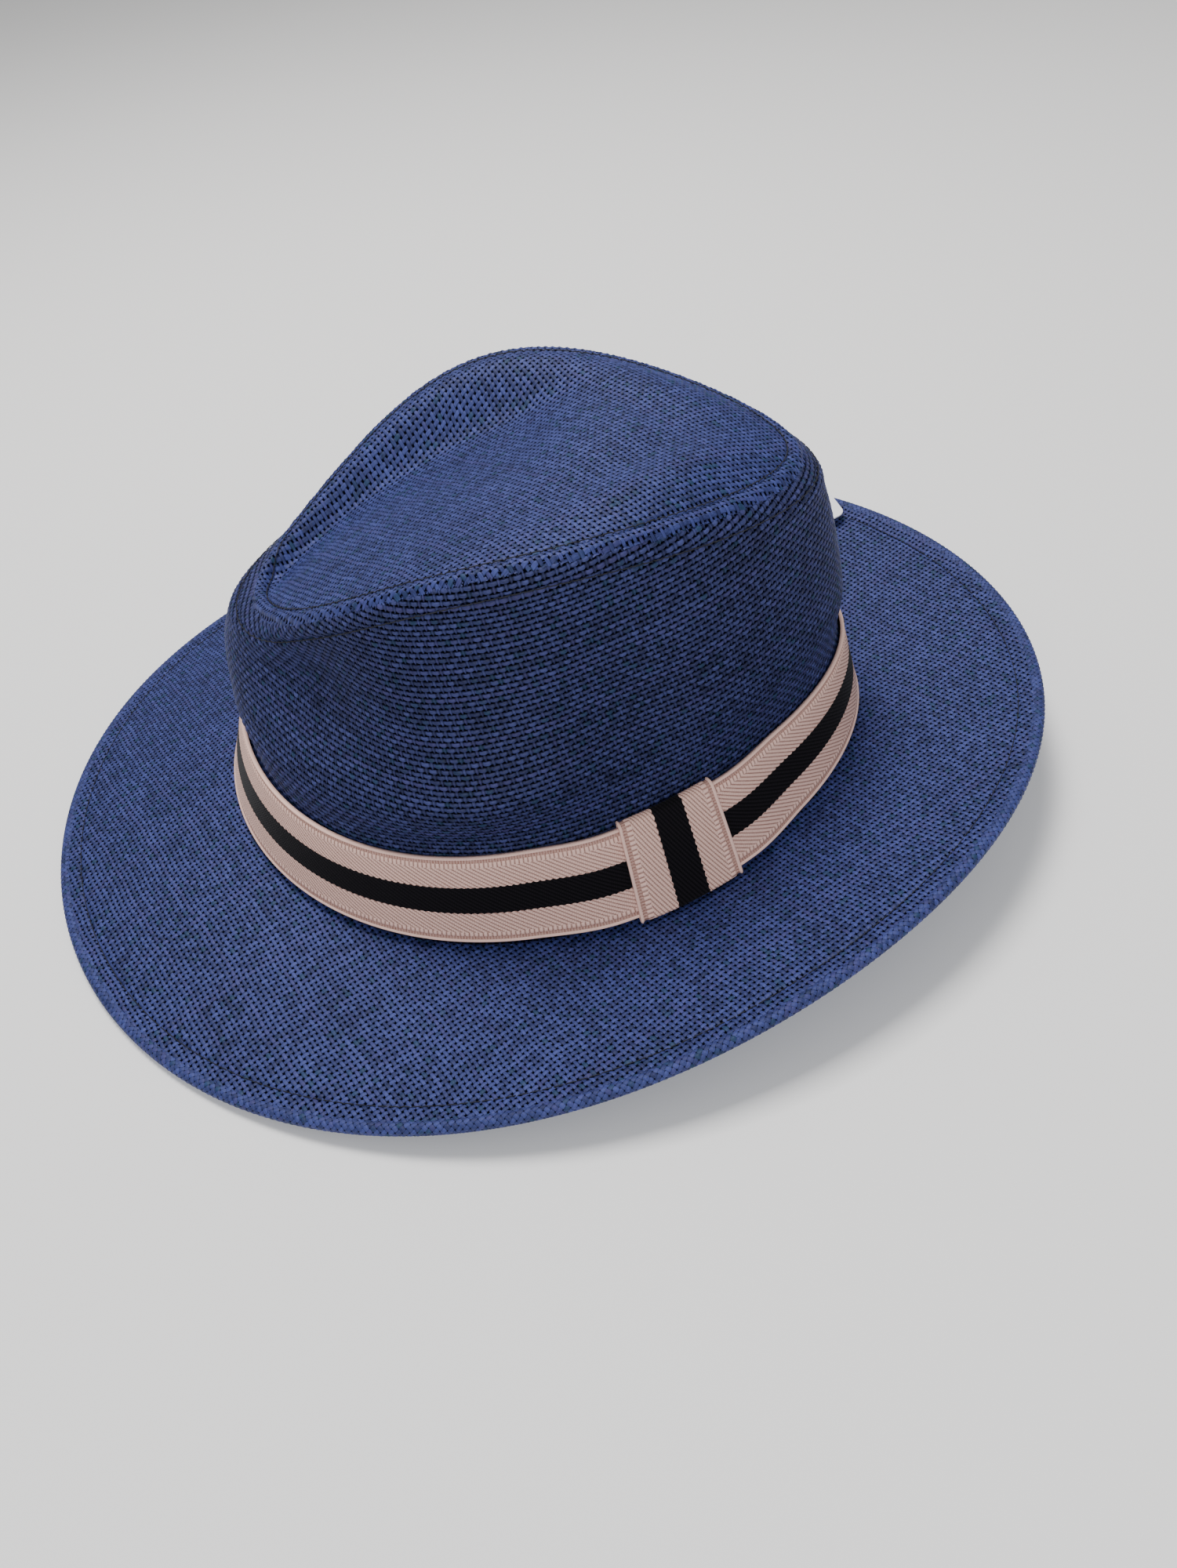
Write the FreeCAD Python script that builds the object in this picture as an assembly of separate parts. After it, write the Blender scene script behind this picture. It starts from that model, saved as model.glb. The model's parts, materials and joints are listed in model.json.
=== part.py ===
"""Woven paper-straw fedora, built as separate pieces. Millimetres.

Front is -Y, the wearer's left is +X, up is +Z. The origin is the centre of
the head opening, level with the line where the brim leaves the crown.
Angles run round the hat from 0 at the front, through 90 at the wearer's left.
"""
import FreeCAD, Part
import os
from math import atan2, cos, exp, hypot, pi, radians, sin, sqrt

os.makedirs("parts", exist_ok=True)

# Head opening, at the line where the brim leaves the crown
BREAK_HALF_LENGTH = 101.0
BREAK_HALF_WIDTH = 88.0
BREAK_EGG = 0.10              # fuller towards the front
BREAK_RISE = 5.3              # front and back stand this much above level, the sides below
BREAK_BEND = 3.0              # the brim takes up its slope within this of the break line

# Cloth and webbing
CLOTH = 0.8
WEBBING = 1.2
GAP = 0.3
BAND_ROOM = 1.0               # between the band and the crown behind it
BAND_ROOM_CLOSES = (0.29, 0.47)   # shares of the side panel over which that room runs out

# Brim: cosine series in degrees for its slope round the hat
BRIM_WIDTH = 56.0
BRIM_WIDTH_FRONT = 2.8
BRIM_SLOPE = (5.6, -14.2, -3.9, 2.6)
COLLAR = 5.0                  # flat part of the brim inside the break line
BEAD_RADIUS = 1.4             # outside of the fold round the edge wire
WIRE_RADIUS = 0.5
HEM_DEPTH = 8.5
HEM_GAP = 0.2                 # between the turned hem and the brim above it
HEM_STITCH = 7.0              # from the outer edge

# Hat band
BAND_HEIGHT = 26.0
BAND_INSET = 10.0
BAND_OVAL = (0.02, -0.024)    # how much its upper edge differs from its lower edge in outline
BAND_BOTTOM = 0.11            # as a share of the band's own height
BAND_TOP = 1.03
KEEPER_ANGLE = 113.0
KEEPER_WIDTH = 31.0
KEEPER_ROOM = 0.6             # between band and keeper
KEEPER_ROOM_ENDS = 0.022      # the same above and below the band, as a share of its height
KEEPER_THICK = 1.0            # of its outer leg
KEEPER_THICK_BACK = 0.9       # of its inner leg, squeezed against the crown
KEEPER_THICK_ENDS = 0.030     # where it turns over the band's edges, as a share of its height
KEEPER_LIFT = 1.75            # how far the band stands off the crown inside the keeper
KEEPER_LIFT_SPAN = (12.0, 26.0)   # degrees from the keeper over which the band comes back
BAND_JOIN = (0.16, 0.96)      # the join's stitches, as shares of the band's height
BAND_JOIN_WIDTH = 6.0
BAND_JOIN_FACES = (0.42, 0.16)    # outer and inner face of its stitches, above the band
KEEPER_SEAM = (0.50, 0.53)
KEEPER_SEAM_WIDTH = 20.0
KEEPER_THREAD = 0.18
KEEPER_THREAD_ROOM = 0.24     # between the band and that thread

# Seam between the crown's side and its tip: cosine series round the hat
SEAM_X = (54.7, -5.5, -5.2, 2.2)
SEAM_Y = (76.9, -14.9, 2.9)
SEAM_BACK = -12.9
SEAM_Z = (86.5, -13.3, -10.1, 1.5, 1.0)
BAND_SHARE = 0.26             # share of the side panel that the band covers
SIDE_LEAN = 0.04              # how far the side leans in above the band, as a share of its rise
SIDE_SHOULDER = (4.5, 0.26)   # fullness below the seam: mm outwards, and share of the rise down
SHARE_PER_MM = 0.012          # share of the side panel in one millimetre, near its top
SHARE_PER_MM_LOW = 0.010      # the same near the brim

# Pinches and swellings of the side panel: angle, height share, their spreads, depth
HOLLOWS = (
    (48.0, 0.72, 17.0, 0.20, 7.0),
    (80.0, 0.40, 18.0, 0.20, -3.0),
    (112.0, 0.55, 12.0, 0.25, 2.5),
    (0.0, 0.80, 34.0, 0.30, -6.0),
    (180.0, 0.80, 42.0, 0.35, -4.0),
)
HOLLOWS_START = (0.30, 0.46)  # they fade in over these shares of the side panel
HOLLOWS_END = (0.90, 1.0)     # and out over these

# Tip: domed panel with a rolled rim at the back and a lengthwise dent nearer the right side
CROWN_TOP = 102.0
CROWN_TOP_SLOPE = 0.05
DOME = 1.2                    # how full the dome is towards the seam
RIM_HEIGHT = (0.5, 2.4)       # at the sides, then over the two back corners
RIM_SHARE = 0.5
RIM_CORNER = (108.0, 142.0)   # it rises between these angles
RIM_MIDDLE = (150.0, 180.0)   # and falls to half its height between these
DENT_LEVEL = 88.0
DENT_RAMP = 0.34
DENT_SOFT = 8.0               # how gently the dent starts
DENT_FRONT = (-88.0, -50.0)   # the dent's foot leaves the middle between these
DENT_BACK = (0.0, 50.0)       # the dent runs out between these
DENT_FOOT = 0.5               # share of the half width from the middle to the wall's foot
DENT_RIM = 8.0                # width of the level rim outside the steep wall
DENT_RIM_MOST = 0.45          # the same at most, as a share of the half width
DENT_WALL_LEAST = 0.1         # least width of the steep wall, as a share of the half width
DENT_CREASE = 0.15            # how soft the foot of the wall is
DENT_END = (0.9, 1.0)         # shares of the tip, middle to seam, over which the dent runs out

# Threads, tapes and sweatband
THREAD = 0.25
THREAD_ROOM = 0.4             # between a thread and the cloth beside it
TIP_THREAD_ROOM = 0.6         # the same over the tip's tighter curve
CROWN_THREAD_DEPTH = 0.5      # middle of the crown-to-brim thread, inside the cloth
TOPSTITCH = 4.7               # from the tip seam
SWEATBAND_ROOM = 1.3
BACK_TAPE_WIDTH = 9.0
JOIN_WIDTH = 1.0              # of the stitches that close the sweatband
BINDING = 0.4                 # thickness of a binding tape
LABEL_ANGLE = 160.0
LABEL_WIDTH = 32.0
LABEL_THICK = 0.25

# Heights on the side panel, as shares of it from the brim to the tip seam
CROWN_BOTTOM = 0.003
CROWN_STITCH = 0.008
SWEATBAND_SPAN = (0.004, 0.30)
SWEATBAND_STITCH = 0.03
SWEATBAND_JOIN = (0.045, 0.285)
LABEL_SPAN = (0.05, 0.25)
BACK_SEAM = (0.34, 0.82)
BACK_TAPE = (0.33, 0.83)
SEAM_TAPE = (0.84, 0.945)
TOPSTITCH_LOWER = 0.925
SEAM_STITCH = 0.965

# Swing tag
TAG_PIN = (-79.8, 95.1)
TAG_TURN = 13.0               # of its long side from straight across the hat, in degrees
TAG_LENGTH = 60.0
TAG_WIDTH = 36.0
TAG_EDGE = 6.0                # from the pin to the tag's inner edge
TAG_CARD = 0.5
TAG_LIFT = 3.2
TAG_HOLE = 2.0
TAG_CORNER = 2.5
PIN_RADIUS = 0.45
FOOT_RADIUS = 0.5             # cross bar under the brim
FOOT_LENGTH = 9.0
HEAD_RADIUS = 2.8
HEAD_THICK = 0.8
FOOT_DROP = 0.8               # from the brim's lower face to the middle of the bar
PIN_SPARE = 1.0               # loose length of the pin above the card

RING = 72                     # stations round the hat


# ---------------------------------------------------------------- shape of the hat
def series(terms, t):
    return sum(a * cos(i * t) for i, a in enumerate(terms))


def smooth(low, high, x):
    f = min(max((x - low) / (high - low), 0.0), 1.0)
    return f * f * (3 - 2 * f)


def outward(t):
    """Level unit normal of the break line."""
    dx = BREAK_HALF_WIDTH * (cos(t) + BREAK_EGG * cos(2 * t))
    dy = BREAK_HALF_LENGTH * sin(t)
    length = hypot(dx, dy)
    return dy / length, -dx / length


def break_point(t):
    return (BREAK_HALF_WIDTH * sin(t) * (1 + BREAK_EGG * cos(t)),
            -BREAK_HALF_LENGTH * cos(t), BREAK_RISE * cos(2 * t))


def brim_width(t):
    return BRIM_WIDTH + BRIM_WIDTH_FRONT * cos(t)


def brim_point(t, run, lift):
    """A point run mm out from the break line and lift mm above the brim's upper face."""
    x, y, z = break_point(t)
    nx, ny = outward(t)
    slope = radians(series(BRIM_SLOPE, t)) * smooth(-BREAK_BEND, BREAK_BEND, run)
    level = run * cos(slope) - lift * sin(slope)
    return x + nx * level, y + ny * level, z + run * sin(slope) + lift * cos(slope)


def brim_edge_point(t, back, lift):
    return brim_point(t, brim_width(t) - back, lift)


def band_rest_point(t, share, out):
    """On the cone the hat band lies on; out is measured from the band's outer face."""
    bx, by, bz = break_point(t)
    nx, ny = outward(t)
    shape = 1 + BAND_OVAL[0] * cos(2 * t) + BAND_OVAL[1] * cos(3 * t)
    tx = (bx - nx * BAND_INSET) * shape
    ty = (by - ny * BAND_INSET) * shape
    return (bx + (tx - bx) * share + nx * out, by + (ty - by) * share + ny * out,
            bz + BAND_HEIGHT * share)


def seam_point(t):
    return (sin(t) * series(SEAM_X, t), -cos(t) * series(SEAM_Y, t) + SEAM_BACK,
            series(SEAM_Z, t))


def wall_point(t, share, out):
    """On the crown's side, share 0 at the brim and 1 at the tip seam."""
    nx, ny = outward(t)
    start = band_rest_point(t, 1.0, 0.0)
    end = seam_point(t)
    end = (end[0], end[1], end[2] - CLOTH - GAP)
    rise = end[2] - start[2]
    lean = SIDE_LEAN * rise
    shoulder, drop = SIDE_SHOULDER
    low = (start[0] - nx * lean, start[1] - ny * lean, start[2] + rise / 3)
    high = (end[0] + nx * shoulder, end[1] + ny * shoulder, end[2] - rise * drop)
    if share < BAND_SHARE:
        x, y, z = band_rest_point(t, share / BAND_SHARE, 0.0)
    else:
        u = (share - BAND_SHARE) / (1 - BAND_SHARE)
        weights = ((1 - u) ** 3, 3 * u * (1 - u) ** 2, 3 * u * u * (1 - u), u ** 3)
        x, y, z = (sum(w * p[i] for w, p in zip(weights, (start, low, high, end))) for i in range(3))
    degrees = abs((t * 180 / pi + 180) % 360 - 180)
    push = out - (WEBBING + BAND_ROOM) * (1 - smooth(*BAND_ROOM_CLOSES, share))
    fade = smooth(*HOLLOWS_START, share) * (1 - smooth(*HOLLOWS_END, share))
    for angle, height, wide, tall, depth in HOLLOWS:
        push -= fade * depth * exp(-((degrees - angle) / wide) ** 2 - ((share - height) / tall) ** 2)
    return x + nx * push, y + ny * push, z


SEAM_SAMPLES = [seam_point(pi * i / 180) for i in range(181)]


def half_width(y):
    """Half the tip's width at one distance along the hat."""
    for a, b in zip(SEAM_SAMPLES, SEAM_SAMPLES[1:]):
        if a[1] <= y <= b[1]:
            return a[0] + (b[0] - a[0]) * (y - a[1]) / (b[1] - a[1])
    return 0.01


def rim_height(t):
    degrees = abs((t * 180 / pi + 180) % 360 - 180)
    corner = smooth(*RIM_CORNER, degrees) * (1 - 0.5 * smooth(*RIM_MIDDLE, degrees))
    return RIM_HEIGHT[0] + RIM_HEIGHT[1] * corner


def dent_wall(x, y):
    """0 at the foot of the dent's wall, 1 outside it: gentle to the left, steep to the right."""
    half = max(half_width(y), 0.01)
    across = x / half
    foot = -DENT_FOOT * smooth(*DENT_FRONT, y)
    if across > foot:
        rise = min((across - foot) / (1 - foot), 1.0)
    else:
        brink = 1 - min(DENT_RIM / half, DENT_RIM_MOST)
        rise = smooth(0.0, 1.0, (foot - across) / max(brink + foot, DENT_WALL_LEAST))
    return sqrt((rise * rise + DENT_CREASE ** 2) / (1 + DENT_CREASE ** 2))


def dent_depth(y, z):
    depth = z - DENT_LEVEL - DENT_RAMP * y
    depth = (depth + hypot(depth, DENT_SOFT)) / 2
    return depth * (1 - smooth(*DENT_BACK, y))


def tip_point(t, share, lift):
    """On the tip panel, share 0 at its middle and 1 at the seam."""
    x, y, z = seam_point(t)
    x, y = x * share, y * share
    z += (CROWN_TOP + CROWN_TOP_SLOPE * y - z) * (1 - share * share) ** DOME
    z += rim_height(t) * sin(pi * min((1 - share) / RIM_SHARE, 1.0)) ** 2
    depth = dent_depth(y, z) * (1 - smooth(*DENT_END, share))
    return x, y, z - depth * (1 - dent_wall(x, y)) + lift


def stitch_share(t, distance):
    """Share of the tip's radius that lies a distance inside the seam."""
    x, y, _ = seam_point(t)
    return 1 - distance / hypot(x, y)


# ---------------------------------------------------------------- solids
def surface(rows, closed):
    """Face through a net of poles; each row runs round (or along) the hat."""
    degree = min(3, len(rows) - 1)
    poles = [[FreeCAD.Vector(*row[i]) for row in rows] for i in range(len(rows[0]))]
    across = list(range(len(rows) - degree + 1))
    across_mults = [degree + 1] + [1] * (len(across) - 2) + [degree + 1]
    if closed:
        round_knots = list(range(len(poles) + 1))
        round_mults = [1] * len(round_knots)
        round_degree = 3
    else:
        round_degree = min(3, len(poles) - 1)
        round_knots = list(range(len(poles) - round_degree + 1))
        round_mults = [round_degree + 1] + [1] * (len(round_knots) - 2) + [round_degree + 1]
    face = Part.BSplineSurface()
    face.buildFromPolesMultsKnots(poles, round_mults, across_mults, round_knots, across,
                                  closed, False, round_degree, degree)
    return face.toShape()


def closed_solid(faces, name):
    shell = Part.makeShell(faces)
    shell.sewShape()
    solid = Part.Solid(shell.Shells[0] if shell.ShapeType != "Shell" else shell)
    if solid.Volume < 0:
        solid.reverse()
    if not (solid.isValid() and solid.isClosed()):
        print("not closed:", name)
    return solid


def ring_solid(name, place, segments):
    """Closed ring. segments is the cross-section's outline, cut where it has corners."""
    stations = [2 * pi * i / RING for i in range(RING)]
    faces = []
    for segment in segments:
        rows = [[place(t, a, b) for t in stations] for a, b in segment]
        faces.append(surface(rows, True))
    return closed_solid(faces, name)


def box_outline(a0, a1, b0, b1, steps):
    """Outline of a strip from a0 to a1, between depths b0 and b1."""
    out = [(a0 + (a1 - a0) * i / steps, b1) for i in range(steps + 1)]
    back = [(a1 + (a0 - a1) * i / steps, b0) for i in range(steps + 1)]
    return [out, [(a1, b1), (a1, b0)], back, [(a0, b0), (a0, b1)]]


def thread_outline(a, b, radius, scale=1.0):
    """Square outline of a thread; scale turns millimetres into place's first unit."""
    r = radius * scale
    corners = [(a - r, b - radius), (a + r, b - radius), (a + r, b + radius), (a - r, b + radius)]
    return [[corners[i], corners[(i + 1) % 4]] for i in range(4)]


def patch_solid(name, top, bottom):
    """Solid between two four-sided nets of the same size."""
    faces = [surface(top, False), surface(bottom, False)]
    for pick in (lambda net: net[0], lambda net: net[-1],
                 lambda net: [row[0] for row in net], lambda net: [row[-1] for row in net]):
        edge_top, edge_bottom = pick(top), pick(bottom)
        faces.append(surface([edge_top, edge_bottom], False))
    return closed_solid(faces, name)


def arc_patch(name, place, angles, shares, depths, steps=(9, 7)):
    """Part of a ring: angles in radians, shares up the wall, depths from outer to inner."""
    nets = []
    for depth in depths:
        rows = []
        for j in range(steps[1]):
            share = shares[0] + (shares[1] - shares[0]) * j / (steps[1] - 1)
            rows.append([place(angles[0] + (angles[1] - angles[0]) * i / (steps[0] - 1), share, depth)
                         for i in range(steps[0])])
        nets.append(rows)
    return patch_solid(name, nets[0], nets[1])


def half_angle(place, t, share, width):
    """Half the angle that spans a width along the wall at one station."""
    step = 0.01
    a = place(t - step, share, 0.0)
    b = place(t + step, share, 0.0)
    return width / 2 * 2 * step / hypot(b[0] - a[0], b[1] - a[1])


# ---------------------------------------------------------------- brim
def from_break(run):
    return lambda t: run


def from_edge(back):
    return lambda t: brim_width(t) - back


def half_turn(radius, first):
    """Half a circle round the bead's middle, from above it if first is 1 and from below if -1."""
    angles = [pi * i / 6 for i in range(7)]
    return [(from_edge(BEAD_RADIUS - radius * sin(angle)), -BEAD_RADIUS + first * radius * cos(angle))
            for angle in angles]


def brim():
    """Upper face, fold round the wire, turned hem and lower face."""
    def place(t, where, lift):
        return brim_point(t, where(t), lift)
    bead_low = -2 * BEAD_RADIUS
    hem_low = -2 * CLOTH - HEM_GAP
    hem_steps = ((BEAD_RADIUS, bead_low), (2.5, bead_low), (3.5, bead_low + 0.8),
                 (5.0, hem_low), (HEM_DEPTH, hem_low))
    top = [(from_break(run), 0) for run in (-COLLAR, 0, 6, 14, 24, 36)]
    top += [(from_edge(14), 0), (from_edge(BEAD_RADIUS), 0)]
    hem = [(from_edge(back), lift) for back, lift in hem_steps]
    hem_inside = [(where, lift + CLOTH) for where, lift in reversed(hem)]
    under = [(where, -CLOTH) for where, _ in reversed(top)]
    bend = half_turn(BEAD_RADIUS, 1)
    bore = half_turn(BEAD_RADIUS - CLOTH, -1)
    hem_end = [hem[-1], hem_inside[0]]
    lip = [under[-1], top[0]]
    return ring_solid("brim", place, [top, bend, hem, hem_end, hem_inside, bore, under, lip])


def brim_wire():
    outline = [(BEAD_RADIUS + WIRE_RADIUS * cos(pi * i / 4), -BEAD_RADIUS + WIRE_RADIUS * sin(pi * i / 4))
               for i in range(9)]
    return ring_solid("brim_wire", brim_edge_point, [[a, b] for a, b in zip(outline, outline[1:])])


def brim_hem_stitch():
    outline = thread_outline(HEM_STITCH, THREAD + THREAD_ROOM, THREAD)
    return ring_solid("brim_hem_stitch", brim_edge_point, outline)


# ---------------------------------------------------------------- crown
def crown_side():
    return ring_solid("crown_side", wall_point, box_outline(CROWN_BOTTOM, 1.0, -CLOTH, 0.0, 24))


def crown_tip():
    """Four-sided net laid over the round panel."""
    count = 33
    nets = []
    for lift in (0.0, -CLOTH):
        rows = []
        for j in range(count):
            row = []
            for i in range(count):
                a, b = -1 + 2 * i / (count - 1), -1 + 2 * j / (count - 1)
                u, v = a * sqrt(1 - b * b / 2), b * sqrt(1 - a * a / 2)
                share = min(hypot(u, v), 1.0)
                row.append(tip_point(atan2(u, -v), share, lift))
            rows.append(row)
        nets.append(rows)
    return patch_solid("crown_tip", nets[0], nets[1])


def tip_topstitch_upper():
    def place(t, distance, lift):
        return tip_point(t, stitch_share(t, distance), lift)
    lift = THREAD + TIP_THREAD_ROOM
    return ring_solid("tip_topstitch_upper", place, thread_outline(TOPSTITCH, lift, THREAD))


def tip_topstitch_lower():
    outline = thread_outline(TOPSTITCH_LOWER, THREAD + THREAD_ROOM, THREAD, SHARE_PER_MM)
    return ring_solid("tip_topstitch_lower", wall_point, outline)


def tip_seam_stitch():
    out = -CLOTH - THREAD_ROOM - THREAD
    outline = thread_outline(SEAM_STITCH, out, THREAD, SHARE_PER_MM)
    return ring_solid("tip_seam_stitch", wall_point, outline)


def tip_seam_tape():
    face = -CLOTH - GAP
    return ring_solid("tip_seam_tape", wall_point, box_outline(*SEAM_TAPE, face - BINDING, face, 4))


def back_seam_stitch():
    face = -CLOTH - THREAD_ROOM
    half = half_angle(wall_point, pi, 0.5, 2 * THREAD)
    return arc_patch("back_seam_stitch", wall_point, (pi - half, pi + half), BACK_SEAM,
                     (face, face - THREAD), (4, 12))


def back_seam_tape():
    face = -CLOTH - 2 * THREAD_ROOM - THREAD
    half = half_angle(wall_point, pi, 0.5, BACK_TAPE_WIDTH)
    return arc_patch("back_seam_tape", wall_point, (pi - half, pi + half), BACK_TAPE,
                     (face, face - BINDING), (7, 12))


def crown_brim_stitch():
    outline = thread_outline(CROWN_STITCH, -CLOTH - CROWN_THREAD_DEPTH, THREAD, SHARE_PER_MM_LOW)
    return ring_solid("crown_brim_stitch", wall_point, outline)


# ---------------------------------------------------------------- sweatband and label
def sweatband():
    face = -CLOTH - SWEATBAND_ROOM
    return ring_solid("sweatband", wall_point, box_outline(*SWEATBAND_SPAN, face - CLOTH, face, 6))


def sweatband_stitch():
    face = -2 * CLOTH - SWEATBAND_ROOM
    out = face - THREAD_ROOM - THREAD
    outline = thread_outline(SWEATBAND_STITCH, out, THREAD, SHARE_PER_MM_LOW)
    return ring_solid("sweatband_stitch", wall_point, outline)


def sweatband_join_stitch():
    face = -2 * CLOTH - SWEATBAND_ROOM - THREAD_ROOM
    half = half_angle(wall_point, pi, 0.2, JOIN_WIDTH)
    return arc_patch("sweatband_join_stitch", wall_point, (pi - half, pi + half), SWEATBAND_JOIN,
                     (face, face - THREAD), (4, 7))


def inner_label():
    face = -2 * CLOTH - SWEATBAND_ROOM - THREAD_ROOM
    middle = radians(LABEL_ANGLE)
    half = half_angle(wall_point, middle, 0.2, LABEL_WIDTH)
    return arc_patch("inner_label", wall_point, (middle - half, middle + half), LABEL_SPAN,
                     (face, face - LABEL_THICK))


# ---------------------------------------------------------------- hat band
def keeper_lift(t):
    """The band stands off the crown where the keeper's back leg runs behind it."""
    degrees = abs((t * 180 / pi - KEEPER_ANGLE + 180) % 360 - 180)
    return KEEPER_LIFT * (1 - smooth(*KEEPER_LIFT_SPAN, degrees))


def band_point(t, share, out):
    return band_rest_point(t, share, out + keeper_lift(t))


def hat_band():
    return ring_solid("hat_band", band_point, box_outline(BAND_BOTTOM, BAND_TOP, -WEBBING, 0.0, 4))


def band_keeper():
    """Flat loop round the band: a block with the band's passage cut through it."""
    middle = radians(KEEPER_ANGLE)
    half = half_angle(band_point, middle, 0.5, KEEPER_WIDTH)
    inner_face = -WEBBING - KEEPER_ROOM
    low, high = BAND_BOTTOM - KEEPER_ROOM_ENDS, BAND_TOP + KEEPER_ROOM_ENDS
    body = arc_patch("band_keeper", band_point, (middle - half, middle + half),
                     (low - KEEPER_THICK_ENDS, high + KEEPER_THICK_ENDS),
                     (KEEPER_ROOM + KEEPER_THICK, inner_face - KEEPER_THICK_BACK))
    passage = arc_patch("keeper_passage", band_point, (middle - 1.2 * half, middle + 1.2 * half),
                        (low, high), (KEEPER_ROOM, inner_face))
    return body.cut(passage).Solids[0]


def band_join_stitch():
    middle = radians(KEEPER_ANGLE)
    half = half_angle(band_point, middle, 0.5, BAND_JOIN_WIDTH)
    return arc_patch("band_join_stitch", band_point, (middle - half, middle + half), BAND_JOIN,
                     BAND_JOIN_FACES, (5, 5))


def keeper_stitch():
    middle = radians(KEEPER_ANGLE)
    half = half_angle(band_point, middle, 0.5, KEEPER_SEAM_WIDTH)
    face = -WEBBING - KEEPER_THREAD_ROOM
    return arc_patch("keeper_stitch", band_point, (middle - half, middle + half), KEEPER_SEAM,
                     (face, face - KEEPER_THREAD), (5, 4))


# ---------------------------------------------------------------- swing tag
def tag_frame():
    """Pin position on the brim and the card's directions: along, across, normal."""
    def miss(place):
        x, y, _ = brim_point(*place, 0.0)
        return hypot(x - TAG_PIN[0], y - TAG_PIN[1])
    angles = [radians(190 + i * 0.25) for i in range(240)]
    runs = [20 + j * 0.5 for j in range(60)]
    t, run = min(((angle, distance) for angle in angles for distance in runs), key=miss)
    spot = FreeCAD.Vector(*brim_point(t, run, 0.0))
    out = FreeCAD.Vector(*brim_point(t, run + 1, 0.0)) - spot
    side = FreeCAD.Vector(*brim_point(t + 0.01, run, 0.0)) - FreeCAD.Vector(*brim_point(t - 0.01, run, 0.0))
    normal = out.cross(side)
    normal.normalize()
    if normal.z < 0:
        normal = normal * -1
    long_way = FreeCAD.Vector(-cos(radians(TAG_TURN)), -sin(radians(TAG_TURN)), 0)
    long_way = long_way - normal * long_way.dot(normal)
    long_way.normalize()
    return spot, long_way, normal.cross(long_way), normal


def swing_tag():
    """Card with rounded corners and an eyelet hole, lying above the brim."""
    spot, long_way, across, normal = tag_frame()
    base = spot + normal * TAG_LIFT
    card = Part.makeBox(TAG_LENGTH, TAG_WIDTH, TAG_CARD, FreeCAD.Vector(-TAG_EDGE, -TAG_WIDTH / 2, 0))
    upright = [e for e in card.Edges if abs(e.tangentAt(e.FirstParameter).z) > 0.9]
    card = card.makeFillet(TAG_CORNER, upright)
    card = card.cut(Part.makeCylinder(TAG_HOLE, 3, FreeCAD.Vector(0, 0, -1)))
    card.Placement = FreeCAD.Placement(FreeCAD.Matrix(
        long_way.x, across.x, normal.x, base.x,
        long_way.y, across.y, normal.y, base.y,
        long_way.z, across.z, normal.z, base.z,
        0, 0, 0, 1))
    return card


def tag_fastener():
    """Pin through cloth and card, a bar under the brim and a head over the card."""
    spot, _, across, normal = tag_frame()
    pin_length = FOOT_DROP + CLOTH + TAG_LIFT + TAG_CARD + PIN_SPARE
    foot = spot - normal * (CLOTH + FOOT_DROP)
    pin = Part.makeCylinder(PIN_RADIUS, pin_length, foot, normal)
    bar = Part.makeCylinder(FOOT_RADIUS, FOOT_LENGTH, foot - across * (FOOT_LENGTH / 2), across)
    head = Part.makeCylinder(HEAD_RADIUS, HEAD_THICK, foot + normal * pin_length, normal)
    return pin.fuse([bar, head])


BUILDERS = (
    brim, brim_wire, brim_hem_stitch, crown_side, crown_tip, tip_topstitch_upper,
    tip_topstitch_lower, tip_seam_stitch, tip_seam_tape, back_seam_stitch, back_seam_tape,
    crown_brim_stitch, sweatband, sweatband_stitch, sweatband_join_stitch, inner_label,
    hat_band, band_join_stitch, band_keeper, keeper_stitch, swing_tag, tag_fastener,
)

for build in BUILDERS:
    shape = build()
    shape.exportStep(os.path.join("parts", build.__name__ + ".step"))
    box = shape.BoundBox
    print("%-22s %9.1f mm3  x %.1f..%.1f  y %.1f..%.1f  z %.1f..%.1f" % (
        build.__name__, shape.Volume, box.XMin, box.XMax, box.YMin, box.YMax, box.ZMin, box.ZMax))
spot, _, _, normal = tag_frame()
print("tag pin at", [round(v / 1000, 5) for v in spot], "axis", [round(v, 5) for v in normal])
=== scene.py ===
"""Looks of the woven paper-straw fedora. Shapes are worked out in millimetres."""

import json
from math import cos, pi, radians, sin

import bpy
import numpy as np
from mathutils import Matrix, Vector


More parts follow.
